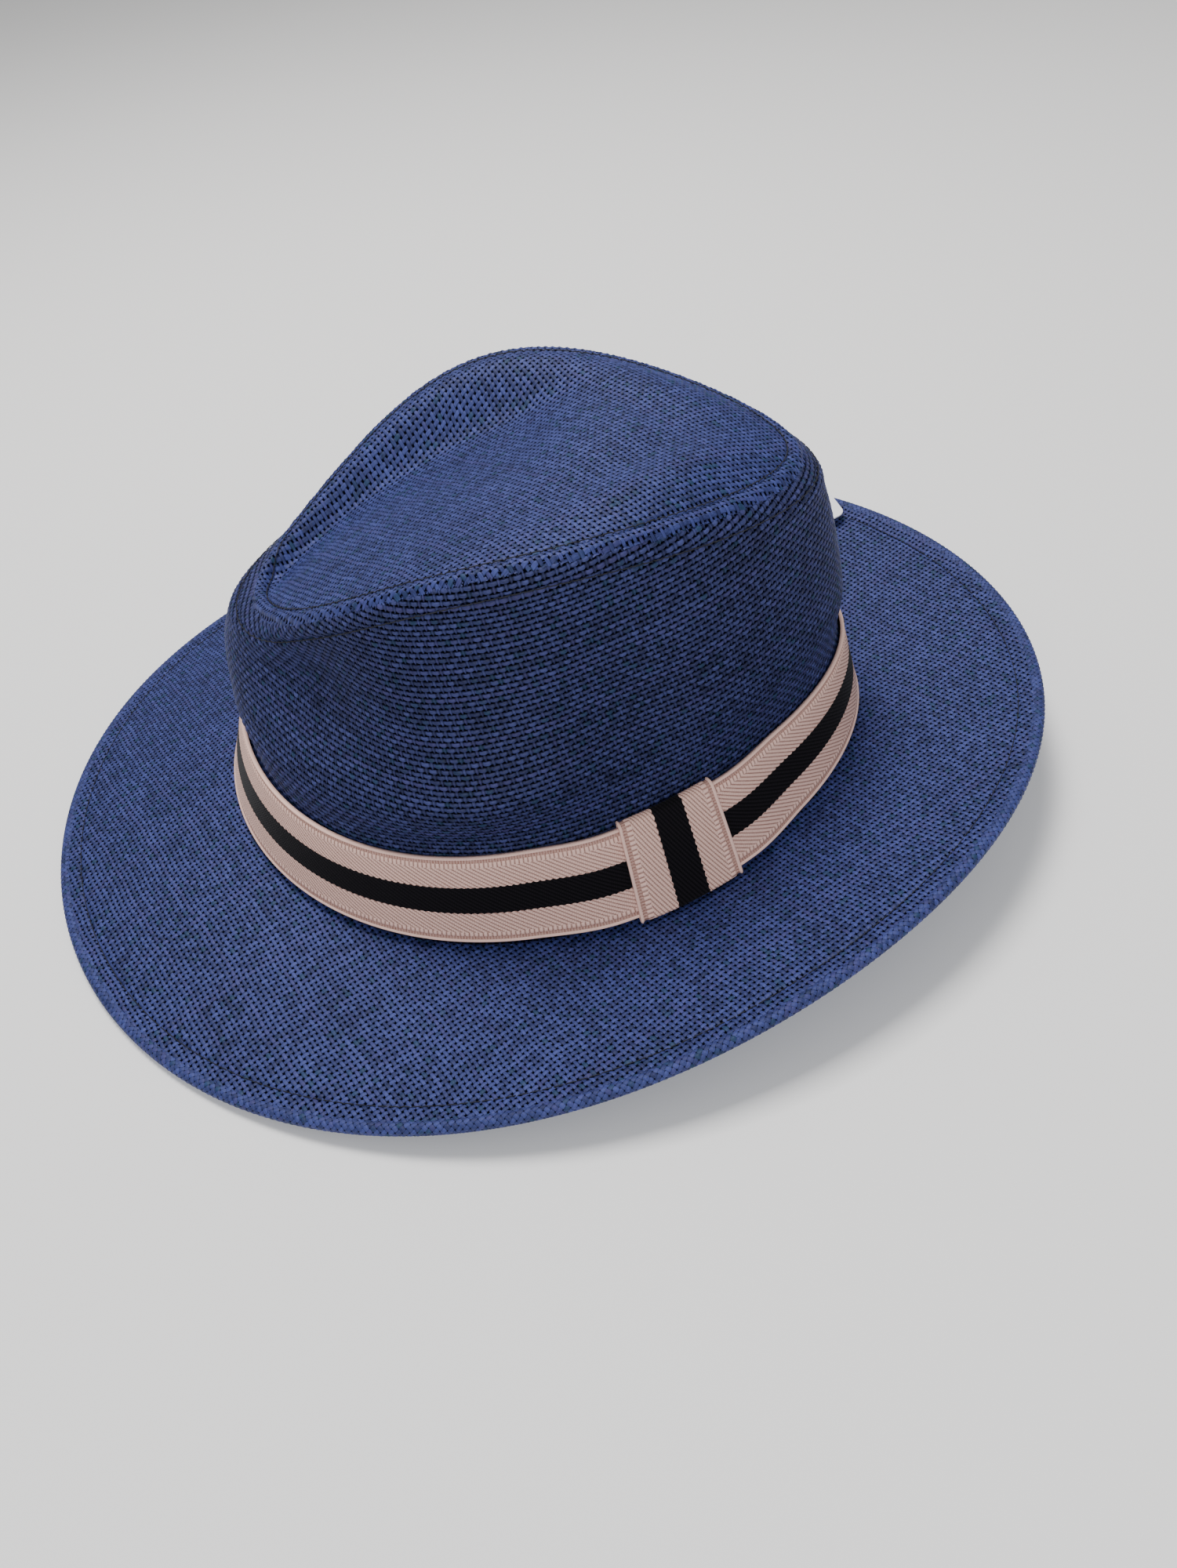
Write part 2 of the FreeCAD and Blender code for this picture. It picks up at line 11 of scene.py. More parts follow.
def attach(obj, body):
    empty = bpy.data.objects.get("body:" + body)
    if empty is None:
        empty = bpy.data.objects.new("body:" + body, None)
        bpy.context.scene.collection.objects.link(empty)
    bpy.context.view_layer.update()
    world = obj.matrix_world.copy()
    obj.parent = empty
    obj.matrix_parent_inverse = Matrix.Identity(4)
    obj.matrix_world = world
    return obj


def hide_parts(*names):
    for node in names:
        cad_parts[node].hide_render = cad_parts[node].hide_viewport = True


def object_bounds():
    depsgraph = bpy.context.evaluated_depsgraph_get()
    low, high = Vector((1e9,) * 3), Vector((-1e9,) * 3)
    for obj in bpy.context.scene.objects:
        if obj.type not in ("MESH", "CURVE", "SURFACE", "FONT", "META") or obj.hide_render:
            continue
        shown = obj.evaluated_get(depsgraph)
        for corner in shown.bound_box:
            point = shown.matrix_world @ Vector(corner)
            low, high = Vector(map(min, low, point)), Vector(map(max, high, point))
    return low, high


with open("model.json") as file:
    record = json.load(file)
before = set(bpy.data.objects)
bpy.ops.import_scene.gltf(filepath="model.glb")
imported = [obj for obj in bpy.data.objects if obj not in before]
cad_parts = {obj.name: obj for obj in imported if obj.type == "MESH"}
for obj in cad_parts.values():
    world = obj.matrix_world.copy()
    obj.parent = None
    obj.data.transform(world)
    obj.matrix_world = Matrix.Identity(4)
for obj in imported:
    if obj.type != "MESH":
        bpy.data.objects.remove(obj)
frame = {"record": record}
size_of_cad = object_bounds()
RANDOM = np.random.default_rng(7)
HAT = "hat"
TAG = "tag"

# Sizes shared with the CAD part, millimetres
BREAK_HALF_LENGTH = 101.0
BREAK_HALF_WIDTH = 88.0
BREAK_EGG = 0.10
BREAK_RISE = 5.3
BREAK_BEND = 3.0
CLOTH = 0.8
WEBBING = 1.2
GAP = 0.3
BAND_ROOM = 1.0
BAND_ROOM_CLOSES = (0.29, 0.47)
BINDING = 0.4
THREAD_ROOM = 0.4
BRIM_WIDTH = 56.0
BRIM_WIDTH_FRONT = 2.8
BRIM_SLOPE = (5.6, -14.2, -3.9, 2.6)
BEAD_RADIUS = 1.4
HEM_DEPTH = 8.5
HEM_STITCH = 7.0
BAND_HEIGHT = 26.0
BAND_INSET = 10.0
BAND_OVAL = (0.02, -0.024)
BAND_BOTTOM = 0.11
BAND_TOP = 1.03
BAND_SHARE = 0.26
SIDE_LEAN = 0.04
SIDE_SHOULDER = (4.5, 0.26)
KEEPER_ANGLE = 113.0
KEEPER_WIDTH = 31.0
KEEPER_LIFT = 1.75
KEEPER_LIFT_SPAN = (12.0, 26.0)
BAND_JOIN = (0.16, 0.96)
SEAM_X = (54.7, -5.5, -5.2, 2.2)
SEAM_Y = (76.9, -14.9, 2.9)
SEAM_BACK = -12.9
SEAM_Z = (86.5, -13.3, -10.1, 1.5, 1.0)
HOLLOWS = (
    (48.0, 0.72, 17.0, 0.20, 7.0),
    (80.0, 0.40, 18.0, 0.20, -3.0),
    (112.0, 0.55, 12.0, 0.25, 2.5),
    (0.0, 0.80, 34.0, 0.30, -6.0),
    (180.0, 0.80, 42.0, 0.35, -4.0),
)
HOLLOWS_START = (0.30, 0.46)
HOLLOWS_END = (0.90, 1.0)
CROWN_TOP = 102.0
CROWN_TOP_SLOPE = 0.05
DOME = 1.2
RIM_HEIGHT = (0.5, 2.4)
RIM_SHARE = 0.5
RIM_CORNER = (108.0, 142.0)
RIM_MIDDLE = (150.0, 180.0)
DENT_LEVEL = 88.0
DENT_RAMP = 0.34
DENT_SOFT = 8.0
DENT_FRONT = (-88.0, -50.0)
DENT_BACK = (0.0, 50.0)
DENT_FOOT = 0.5
DENT_RIM = 8.0
DENT_RIM_MOST = 0.45
DENT_WALL_LEAST = 0.1
DENT_CREASE = 0.15
DENT_END = (0.9, 1.0)
TOPSTITCH_LOWER = 0.925
TOPSTITCH = 4.7
SWEATBAND_ROOM = 1.3
CROWN_BOTTOM = 0.003
CROWN_STITCH = 0.008
SWEATBAND_SPAN = (0.004, 0.30)
SWEATBAND_STITCH = 0.03
SWEATBAND_JOIN = (0.045, 0.285)
LABEL_ANGLE = 160.0
LABEL_WIDTH = 32.0
LABEL_THICK = 0.25
LABEL_SPAN = (0.05, 0.25)
BACK_SEAM = (0.34, 0.82)
BACK_TAPE = (0.33, 0.83)
BACK_TAPE_WIDTH = 9.0
SEAM_TAPE = (0.84, 0.945)
SEAM_STITCH = 0.965
TAG_LENGTH = 60.0
TAG_WIDTH = 36.0
TAG_EDGE = 6.0
TAG_TURN = 13.0
TAG_LIFT = 3.2
TAG_HOLE = 2.0
TAG_CARD = 0.5
TAG_CORNER = 2.5
PIN_RADIUS = 0.45
PIN_SPARE = 1.0
FOOT_DROP = 0.8
FOOT_RADIUS = 0.5
FOOT_LENGTH = 9.0

# Weave of the straw cloth
PITCH_A = 1.68                # between neighbouring yarns of the first set
PITCH_B = 1.50
PITCH_BEAD = 1.35             # in the cloth folded round the edge wire
PITCH_UP = 1.52               # between rows of the side panel
SIDE_YARNS = 334              # upright yarns round the side panel
FLAT_WIDTHS = (0.63, 0.63)    # of the yarns, as shares of their pitch
SIDE_WIDTHS = (0.46, 0.72)
SIDE_BIAS = 0.10              # how far the side panel's level yarns stand proud
YARN_THICK = 0.24
YARN_WAVE = 0.20              # how far a yarn rises and dips
YARN_SQUARE = 0.6             # below 1 the floats have flat tops and short dips
BEAD_WIDTHS = (0.86, 0.86)
BEAD_FLATTER = 0.75           # the weave is pressed flatter round the bead
FLAT_CLOTH_TURN = 33.5        # of the yarns in brim and tip from straight across, degrees
CELL_STEPS = np.array([0.0, 0.2, 0.5, 0.8])   # mesh lines across one yarn
WEAVE_ORIGIN = 200            # keeps yarn numbers above 0 on the plain inner faces
BRIM_REACH = 168.0            # half the width of cloth woven for the brim, and for the tip
TIP_REACH = 90.0
SIDE_ROWS = 64

# Small folds of the soft side panel beyond the CAD shape, listed as HOLLOWS are
FOLDS = (
    (62.0, 0.66, 22.0, 0.13, 1.5),
    (78.0, 0.42, 22.0, 0.11, -1.5),
    (112.0, 0.55, 10.0, 0.30, 1.5),
    (180.0, 0.80, 46.0, 0.30, 1.2),
)
FOLDS_START = (0.27, 0.36)    # they fade in over these shares of the side panel
BEVEL = 0.8                   # how far the side panel swells at its topstitch
BEVEL_SPAN = (5.0, 13.0)      # below the seam
BRIM_INNER_EDGE = -3.2        # of its cloth, from the break line

# Keeper, edge wire and ribbons, a little slimmer than their CAD solids
KEEPER_SPAN = (0.062, 1.080)  # of the loop, as shares of the band's height
KEEPER_FACES = (1.0, -WEBBING - 0.85)   # front and back of the loop, from the band's face
KEEPER_WEBBING = 0.7
KEEPER_SEAM = 0.515           # height share of the stitch that closes the loop
WIRE_RADIUS = 0.45
RIBBON_RUN = 560.0            # length of the inner ribbons, which sets how many ribs they show

# Dimples that the thread rows press into the cloth: depth and half width
HEM_PRESS = (0.35, 0.6)
TIP_PRESS = (0.55, 0.7)
SIDE_PRESS = (0.50, 0.7)

# Relief of the webbing
TWILL_PITCH = 0.95
TWILL_BEAD = 0.62             # along a twill rib
TWILL_LEAN = 30.0             # of the ribs from the band's direction, degrees
STRIPE_HALF = 0.155           # half width of the dark stripe, as a share of the webbing
TICKS = (0.068, 0.118)        # a row of ticks, from the edge
CHANNEL = (0.028, 0.068)
TICK_PITCH = 1.25
CHANNEL_PITCH = 0.8
RELIEF_STEP = 0.006           # how sharply one strip gives way to the next
EDGE_BEAD = (0.014, 0.012)    # middle and half width of the round edge

# Shades of the straw: how much yarns, single crossings, creases and clouds change it
YARN_SHADE = 0.28
CROSSING_SHADE = 0.55
CREASE_SHADE = (-0.14, 0.34)
CLOUD_SHADE = (-0.05, 0.05)

# Camera, degrees and metres
CAMERA_AZIMUTH = 92.96
CAMERA_ELEVATION = 43.81
CAMERA_ROLL = -7.95
CAMERA_DISTANCE = 0.350
CAMERA_SHIFT = (0.0189, -0.0555)   # of the point it looks at, to the right and up
CAMERA_LENS = 27.0
CAMERA_TARGET_HEIGHT = 0.050
SENSOR_WIDTH = 36.0

# Light
WORLD_STRENGTH = 0.42
KEY_PLACE = (-0.35, -0.15, 1.2)
KEY_SIZE = 0.45
KEY_POWER = 17.0
FILL_PLACE = (1.0, 0.1, 0.75)
FILL_SIZE = 0.4
FILL_POWER = 6.0
LIGHT_TARGET = (0, 0, 0.05)
FLOOR_REACH = 4.0
FLOOR_DROP = 0.0005           # below the hat's lowest point


# ---------------------------------------------------------------- shape of the hat
def series(terms, t):
    return sum(a * np.cos(i * t) for i, a in enumerate(terms))


def smooth(low, high, x):
    f = np.clip((x - low) / (high - low), 0.0, 1.0)
    return f * f * (3 - 2 * f)


def points(x, y, z):
    return np.stack(np.broadcast_arrays(x, y, z), -1).astype(float)


def from_front(t):
    """Degrees round the hat from the front, 0 to 180 on either side."""
    return np.abs((np.degrees(t) + 180) % 360 - 180)


def outward(t):
    dx = BREAK_HALF_WIDTH * (np.cos(t) + BREAK_EGG * np.cos(2 * t))
    dy = BREAK_HALF_LENGTH * np.sin(t)
    length = np.hypot(dx, dy)
    return dy / length, -dx / length


def break_point(t):
    return points(BREAK_HALF_WIDTH * np.sin(t) * (1 + BREAK_EGG * np.cos(t)),
                  -BREAK_HALF_LENGTH * np.cos(t), BREAK_RISE * np.cos(2 * t))


def brim_width(t):
    return BRIM_WIDTH + BRIM_WIDTH_FRONT * np.cos(t)


def brim_slope(t, run):
    return np.radians(series(BRIM_SLOPE, t)) * smooth(-BREAK_BEND, BREAK_BEND, run)


def brim_point(t, run, lift):
    p = break_point(t)
    nx, ny = outward(t)
    slope = brim_slope(t, run)
    level = run * np.cos(slope) - lift * np.sin(slope)
    return p + points(nx * level, ny * level, run * np.sin(slope) + lift * np.cos(slope))


def band_rest_point(t, share, out):
    start = break_point(t)
    nx, ny = outward(t)
    shape = 1 + BAND_OVAL[0] * np.cos(2 * t) + BAND_OVAL[1] * np.cos(3 * t)
    x = start[..., 0] + ((start[..., 0] - nx * BAND_INSET) * shape - start[..., 0]) * share
    y = start[..., 1] + ((start[..., 1] - ny * BAND_INSET) * shape - start[..., 1]) * share
    return points(x + nx * out, y + ny * out, start[..., 2] + BAND_HEIGHT * share)


def seam_point(t):
    return points(np.sin(t) * series(SEAM_X, t), -np.cos(t) * series(SEAM_Y, t) + SEAM_BACK,
                  series(SEAM_Z, t))


def dents(listed, t, share):
    """Depth of the listed hollows at each point."""
    depth = np.zeros(np.broadcast(t, share).shape)
    for angle, height, wide, tall, deep in listed:
        depth += deep * np.exp(-((from_front(t) - angle) / wide) ** 2 - ((share - height) / tall) ** 2)
    return depth


def wall_point(t, share, out):
    t, share, out = np.broadcast_arrays(np.asarray(t, float), share, out)
    nx, ny = outward(t)
    start = band_rest_point(t, np.ones_like(t), 0.0)
    end = seam_point(t) - points(0, 0, CLOTH + GAP)
    rise = end[..., 2] - start[..., 2]
    lean = SIDE_LEAN * rise
    shoulder, drop = SIDE_SHOULDER
    low = start + points(-nx * lean, -ny * lean, rise / 3)
    high = end + points(nx * shoulder, ny * shoulder, -rise * drop)
    u = np.clip((share - BAND_SHARE) / (1 - BAND_SHARE), 0.0, 1.05)[..., None]
    curve = (1 - u) ** 3 * start + 3 * u * (1 - u) ** 2 * low + 3 * u * u * (1 - u) * high + u ** 3 * end
    p = np.where(share[..., None] < BAND_SHARE, band_rest_point(t, share / BAND_SHARE, 0.0), curve)
    push = out - (WEBBING + BAND_ROOM) * (1 - smooth(*BAND_ROOM_CLOSES, share))
    top = 1 - smooth(*HOLLOWS_END, share)
    push = push - smooth(*HOLLOWS_START, share) * top * dents(HOLLOWS, t, share)
    push = push - smooth(*FOLDS_START, share) * top * dents(FOLDS, t, share)
    return p + points(nx * push, ny * push, 0.0)


SEAM_HALF = seam_point(np.linspace(0, pi, 721))


def half_width(y):
    return np.interp(y, SEAM_HALF[:, 1], SEAM_HALF[:, 0], left=0.01, right=0.01)


def rim_height(t):
    degrees = from_front(t)
    corner = smooth(*RIM_CORNER, degrees) * (1 - 0.5 * smooth(*RIM_MIDDLE, degrees))
    return RIM_HEIGHT[0] + RIM_HEIGHT[1] * corner


def dent_wall(x, y):
    """0 at the foot of the dent's wall, 1 outside it: gentle to the left, steep to the right."""
    half = np.maximum(half_width(y), 0.01)
    across = x / half
    foot = -DENT_FOOT * smooth(*DENT_FRONT, y)
    brink = 1 - np.minimum(DENT_RIM / half, DENT_RIM_MOST)
    gentle = np.clip((across - foot) / (1 - foot), 0.0, 1.0)
    steep = smooth(0.0, 1.0, (foot - across) / np.maximum(brink + foot, DENT_WALL_LEAST))
    rise = np.where(across > foot, gentle, steep)
    return np.sqrt((rise * rise + DENT_CREASE ** 2) / (1 + DENT_CREASE ** 2))


def dent_depth(y, z):
    depth = z - DENT_LEVEL - DENT_RAMP * y
    depth = (depth + np.hypot(depth, DENT_SOFT)) / 2
    return depth * (1 - smooth(*DENT_BACK, y))


def tip_point(t, share, lift):
    seam = seam_point(t)
    x, y, z = seam[..., 0] * share, seam[..., 1] * share, seam[..., 2]
    z = z + (CROWN_TOP + CROWN_TOP_SLOPE * y - z) * np.maximum(1 - share * share, 0) ** DOME
    z = z + rim_height(t) * np.sin(pi * np.clip((1 - share) / RIM_SHARE, 0.0, 1.0)) ** 2
    depth = dent_depth(y, z) * (1 - smooth(*DENT_END, share))
    return points(x, y, z - depth * (1 - dent_wall(x, y)) + lift)


def stitch_share(t, distance):
    seam = seam_point(t)
    return 1 - distance / np.hypot(seam[..., 0], seam[..., 1])


def keeper_lift(t):
    degrees = np.abs((np.degrees(t) - KEEPER_ANGLE + 180) % 360 - 180)
    return KEEPER_LIFT * (1 - smooth(*KEEPER_LIFT_SPAN, degrees))


def band_point(t, share, out):
    return band_rest_point(t, share, out + keeper_lift(t))


# ---------------------------------------------------------------- weave
def uneven(count, amount):
    """Cumulative positions of yarns whose widths differ a little."""
    return np.concatenate([[0], np.cumsum(1 + RANDOM.uniform(-amount, amount, count))])


def cell_lines(count):
    """Sample positions across a run of yarns, in yarns."""
    return (np.arange(count)[:, None] + CELL_STEPS[None, :]).ravel()


def profile(f, width):
    """Cross-section of a flat paper yarn, and whether it is there at all."""
    x = np.abs(f - 0.5) / (width / 2)
    return 1 - np.minimum(x, 1) ** 3, x < 1


def weave(a, b, widths=FLAT_WIDTHS, bias=0.0):
    """Height of a plain weave. bias lifts the second set of yarns over the first."""
    ia, ib = np.floor(a), np.floor(b)
    fa, fb = a - ia, b - ib
    over = np.where((ia + ib) % 2 == 0, YARN_WAVE, -YARN_WAVE)
    shape_a, in_a = profile(fa, widths[0])
    shape_b, in_b = profile(fb, widths[1])
    height_a = over * np.sin(pi * fb) ** YARN_SQUARE + YARN_THICK * shape_a - bias
    height_b = -over * np.sin(pi * fa) ** YARN_SQUARE + YARN_THICK * shape_b + bias
    gap = -YARN_WAVE - YARN_THICK
    return np.maximum(np.where(in_a, height_a, gap), np.where(in_b, height_b, gap))


# ---------------------------------------------------------------- meshes
def arc_length(path):
    """Length run along a path at each of its points."""
    return np.concatenate([[0], np.cumsum(np.linalg.norm(np.diff(path, axis=0), axis=1))])


def arc_speed(place, t):
    """Millimetres per radian round the hat, at one angle."""
    step = 0.01
    return np.linalg.norm(place(t + step) - place(t - step)) / (2 * step)


def ring_angles(count=1600):
    return np.linspace(0, 2 * pi, count, endpoint=False)


def make_mesh(name, verts, quads, uv=None):
    """Smooth-shaded mesh in metres from points in millimetres."""
    data = bpy.data.meshes.new(name)
    quads = np.asarray(quads, np.int32)
    data.vertices.add(len(verts))
    data.vertices.foreach_set("co", (np.asarray(verts, float) * 0.001).astype(np.float32).ravel())
    data.loops.add(quads.size)
    data.loops.foreach_set("vertex_index", quads.ravel())
    data.polygons.add(len(quads))
    data.polygons.foreach_set("loop_start", np.arange(0, quads.size, quads.shape[1], dtype=np.int32))
    data.polygons.foreach_set("use_smooth", np.ones(len(quads), bool))
    data.update(calc_edges=True)
    if uv is not None:
        layer = data.uv_layers.new(name="cloth")
        layer.data.foreach_set("uv", uv.reshape(-1, 2)[quads.ravel()].astype(np.float32).ravel())
    data.validate()
    obj = bpy.data.objects.new(name, data)
    bpy.context.scene.collection.objects.link(obj)
    return obj


def grid_quads(rows, cols, close_rows=False, close_cols=False):
    """Quads of a net stored row by row."""
    r = np.arange(rows if close_rows else rows - 1)
    c = np.arange(cols if close_cols else cols - 1)
    r, c = np.meshgrid(r, c, indexing="ij")
    down, right = (r + 1) % rows, (c + 1) % cols
    quads = np.stack([r * cols + c, r * cols + right, down * cols + right, down * cols + c], -1)
    return quads.reshape(-1, 4)


def grid_mesh(name, net, uv=None, close_rows=False, close_cols=False):
    rows, cols = net.shape[:2]
    quads = grid_quads(rows, cols, close_rows, close_cols)
    return make_mesh(name, net.reshape(-1, 3), quads, uv)


def cut_mesh(name, net, keep, uv):
    """Net with only the quads whose four corners are kept."""
    rows, cols = net.shape[:2]
    quads = grid_quads(rows, cols)
    quads = quads[keep.ravel()[quads].all(axis=1)]
    used = np.unique(quads)
    place = np.zeros(rows * cols, np.int64)
    place[used] = np.arange(len(used))
    return make_mesh(name, net.reshape(-1, 3)[used], place[quads], uv.reshape(-1, 2)[used])


def finish_piece(obj, material, body, *nodes):
    obj.data.materials.append(material)
    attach(obj, body)
    if nodes:
        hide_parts(*nodes)
    return obj


def tube(name, path, radius, closed=True, sides=6):
    """Round thread along a path of points in millimetres."""
    ahead = np.roll(path, -1, axis=0) - np.roll(path, 1, axis=0)
    if not closed:
        ahead[0], ahead[-1] = path[1] - path[0], path[-1] - path[-2]
    ahead /= np.linalg.norm(ahead, axis=1, keepdims=True)
    side = np.cross(ahead, [0.13, 0.07, 0.99])
    side /= np.linalg.norm(side, axis=1, keepdims=True)
    up = np.cross(side, ahead)
    angle = np.arange(sides) * 2 * pi / sides
    net = path[:, None, :] + radius * (np.cos(angle)[None, :, None] * side[:, None, :]
                                       + np.sin(angle)[None, :, None] * up[:, None, :])
    return grid_mesh(name, net, None, close_rows=closed, close_cols=True)


# ---------------------------------------------------------------- straw cloth pieces
def wander(u, v):
    """Yarns are never quite straight: a long and a short wave in each direction."""
    return (u + 0.22 * np.sin(v * 0.19 + 1.3) + 0.10 * np.sin(v * 0.57),
            v + 0.22 * np.sin(u * 0.17) + 0.10 * np.sin(u * 0.61))


def yarn_lines(reach, pitch):
    """Sample positions across the yarns, in yarns and in pitches from the middle."""
    count = int(2 * reach / pitch)
    lines = cell_lines(count)
    place = np.interp(lines, np.arange(count + 1), uneven(count, 0.10))
    return lines, place - place[-1] / 2


def plan_net(reach):
    """Yarn coordinates and plan positions of a flat-cut cloth."""
    lines_a, place_a = yarn_lines(reach, PITCH_A)
    lines_b, place_b = yarn_lines(reach, PITCH_B)
    a, b = np.meshgrid(lines_a, lines_b, indexing="ij")
    u, v = wander(*np.meshgrid(place_a, place_b, indexing="ij"))
    turn = radians(FLAT_CLOTH_TURN)
    x = PITCH_A * u * cos(turn) - PITCH_B * v * sin(turn)
    y = PITCH_A * u * sin(turn) + PITCH_B * v * cos(turn)
    return a, b, x, y


def plan_uv(net):
    """Yarn coordinates of points seen in plan, for the plain inner faces."""
    turn = radians(FLAT_CLOTH_TURN)
    x, y = net[..., 0], net[..., 1]
    a = (x * cos(turn) + y * sin(turn)) / PITCH_A + WEAVE_ORIGIN
    b = (y * cos(turn) - x * sin(turn)) / PITCH_B + WEAVE_ORIGIN
    return np.stack([a, b], -1)


def break_coordinates(x, y):
    """Angle round the hat and level distance outside the break line, of points in plan."""
    step = 1e-3
    t = np.arctan2(x / BREAK_HALF_WIDTH, -y / BREAK_HALF_LENGTH)
    for _ in range(8):
        p = break_point(t)
        before, after = break_point(t - step), break_point(t + step)
        ahead = (after - before) / (2 * step)
        bend = (after + before - 2 * p) / step ** 2
        off_x, off_y = x - p[..., 0], y - p[..., 1]
        error = off_x * ahead[..., 0] + off_y * ahead[..., 1]
        slope = (-ahead[..., 0] ** 2 - ahead[..., 1] ** 2
                 + off_x * bend[..., 0] + off_y * bend[..., 1])
        t = t - np.clip(error / np.minimum(slope, -500.0), -0.2, 0.2)
    p = break_point(t)
    nx, ny = outward(t)
    return t, (x - p[..., 0]) * nx + (y - p[..., 1]) * ny


def dimple(left, middle, press):
    """Depth that a thread row presses into the cloth, at a distance left from the edge."""
    depth, half = press
    return depth * np.exp(-((left - middle) / half) ** 2)


def brim_cloth(material):
    """Woven upper face, cut along the yarns and rolled over at the bead."""
    a, b, x, y = plan_net(BRIM_REACH)
    t, level = break_coordinates(x, y)
    run = level / np.cos(brim_slope(t, level))
    left = brim_width(t) - run
    keep = (run > BRIM_INNER_EDGE) & (left > 0.35)
    height = weave(a, b)
    over_bead = np.clip(BEAD_RADIUS - left, 0, 1.3)
    rolled = BEAD_RADIUS - np.sqrt(np.maximum(BEAD_RADIUS ** 2 - over_bead ** 2, 0))
    pressed = dimple(left, HEM_STITCH, HEM_PRESS)
    net = brim_point(t, run, height - YARN_THICK - pressed - rolled)
    obj = cut_mesh("brim_cloth", net, keep, np.stack([a, b], -1))
    return finish_piece(obj, material, HAT, "brim")


def brim_underside(material):
    """Lower face of the brim, from the hem's edge in to the crown, and the lip inside it."""
    t = ring_angles(480)
    rows = 40
    run = np.concatenate([[BRIM_INNER_EDGE, -3.4], np.linspace(BRIM_INNER_EDGE, 50.5, rows)])
    lift = np.concatenate([[-0.3, -0.6], np.full(rows, -CLOTH)])
    net = brim_point(t[:, None], run[None, :], lift[None, :])
    obj = grid_mesh("brim_underside", net, plan_uv(net), close_rows=True)
    return finish_piece(obj, material, HAT)


def tip_cloth(material):
    """Woven top of the tip, turned down into the seam at its edge."""
    a, b, x, y = plan_net(TIP_REACH)
    ring = np.linspace(-pi, pi, 1441)
    seam = seam_point(ring)
    angles = np.unwrap(np.arctan2(seam[:, 0], -seam[:, 1]))
    t = np.interp(np.arctan2(x, -y), angles, ring)
    here = seam_point(t)
    share = np.hypot(x, y) / np.hypot(here[..., 0], here[..., 1])
    left = (1 - share) * np.hypot(here[..., 0], here[..., 1])
    height = weave(a, b)
    pressed = dimple(left, TOPSTITCH, TIP_PRESS)
    rolled = 1.9 * (1 - smooth(-0.5, 1.9, left))
    net = tip_point(t, np.minimum(share, 1.0), 0.0)
    over = np.maximum(share - 1, 0.0)
    net += points(here[..., 0] * over, here[..., 1] * over, height - YARN_THICK - pressed - rolled)
    obj = cut_mesh("crown_tip_cloth", net, left > -0.3, np.stack([a, b], -1))
    return finish_piece(obj, material, HAT, "crown_tip")


def tip_lining(material):
    """Inner face of the tip."""
    t = ring_angles(240)
    share = np.linspace(0.01, 0.985, 60)
    net = tip_point(t[:, None], share[None, :], -CLOTH)
    obj = grid_mesh("crown_tip_lining", net, plan_uv(net), close_rows=True)
    return finish_piece(obj, material, HAT)


def wall_shares(t, height):
    """Shares of the side panel at heights along the cloth above share 0.2, and its whole length."""
    count = 360
    stations = np.linspace(0, 2 * pi, count + 1)
    shares = np.linspace(0.20, 1.0, 161)
    table = wall_point(stations[:, None], shares[None, :], 0.0)
    steps = np.linalg.norm(np.diff(table, axis=1), axis=2)
    length = np.concatenate([np.zeros((count + 1, 1)), np.cumsum(steps, axis=1)], axis=1)
    row = t / (2 * pi) * count
    low = np.clip(np.floor(row).astype(int), 0, count - 1)
    blend = row - low
    share, total = np.zeros(height.shape), np.zeros(height.shape)
    for i in range(t.shape[0]):
        lengths = length[low[i, 0]] * (1 - blend[i, 0]) + length[low[i, 0] + 1] * blend[i, 0]
        share[i] = np.interp(height[i], lengths, shares)
        total[i] = lengths[-1]
    return share, total


def side_cloth(material):
    """Woven side panel: upright yarns fan out round the hat, level yarns wander a little."""
    lines_a, lines_b = cell_lines(SIDE_YARNS), cell_lines(SIDE_ROWS)
    around = uneven(SIDE_YARNS, 0.12)
    t_line = np.interp(lines_a, np.arange(SIDE_YARNS + 1), around / around[-1] * 2 * pi)
    up_line = np.interp(lines_b, np.arange(SIDE_ROWS + 1), uneven(SIDE_ROWS, 0.08) * PITCH_UP)
    a, b = np.meshgrid(lines_a, lines_b, indexing="ij")
    t, up = np.meshgrid(t_line, up_line, indexing="ij")
    up = up + 0.35 * np.sin(3 * t + 0.4) + 0.22 * np.sin(11 * t + up * 0.05)
    share, total = wall_shares(t, up)
    left = total - up
    height = weave(a, b, SIDE_WIDTHS, SIDE_BIAS)
    pressed = dimple(left, BEVEL_SPAN[0], SIDE_PRESS)
    rolled = 1.0 * (1 - smooth(0.0, 1.0, left))
    swell = BEVEL * smooth(0.0, BEVEL_SPAN[0], left) * (1 - smooth(*BEVEL_SPAN, left))
    net = wall_point(t, np.minimum(share, 1.0), height - YARN_THICK + swell - pressed - rolled)
    net = np.concatenate([net, net[:1]])
    keep = left > -0.4
    keep = np.concatenate([keep, keep[:1]])
    uv = np.stack([a, b], -1)
    uv = np.concatenate([uv, uv[:1] + [SIDE_YARNS, 0]])
    obj = cut_mesh("crown_side_cloth", net, keep, uv)
    return finish_piece(obj, material, HAT, "crown_side")


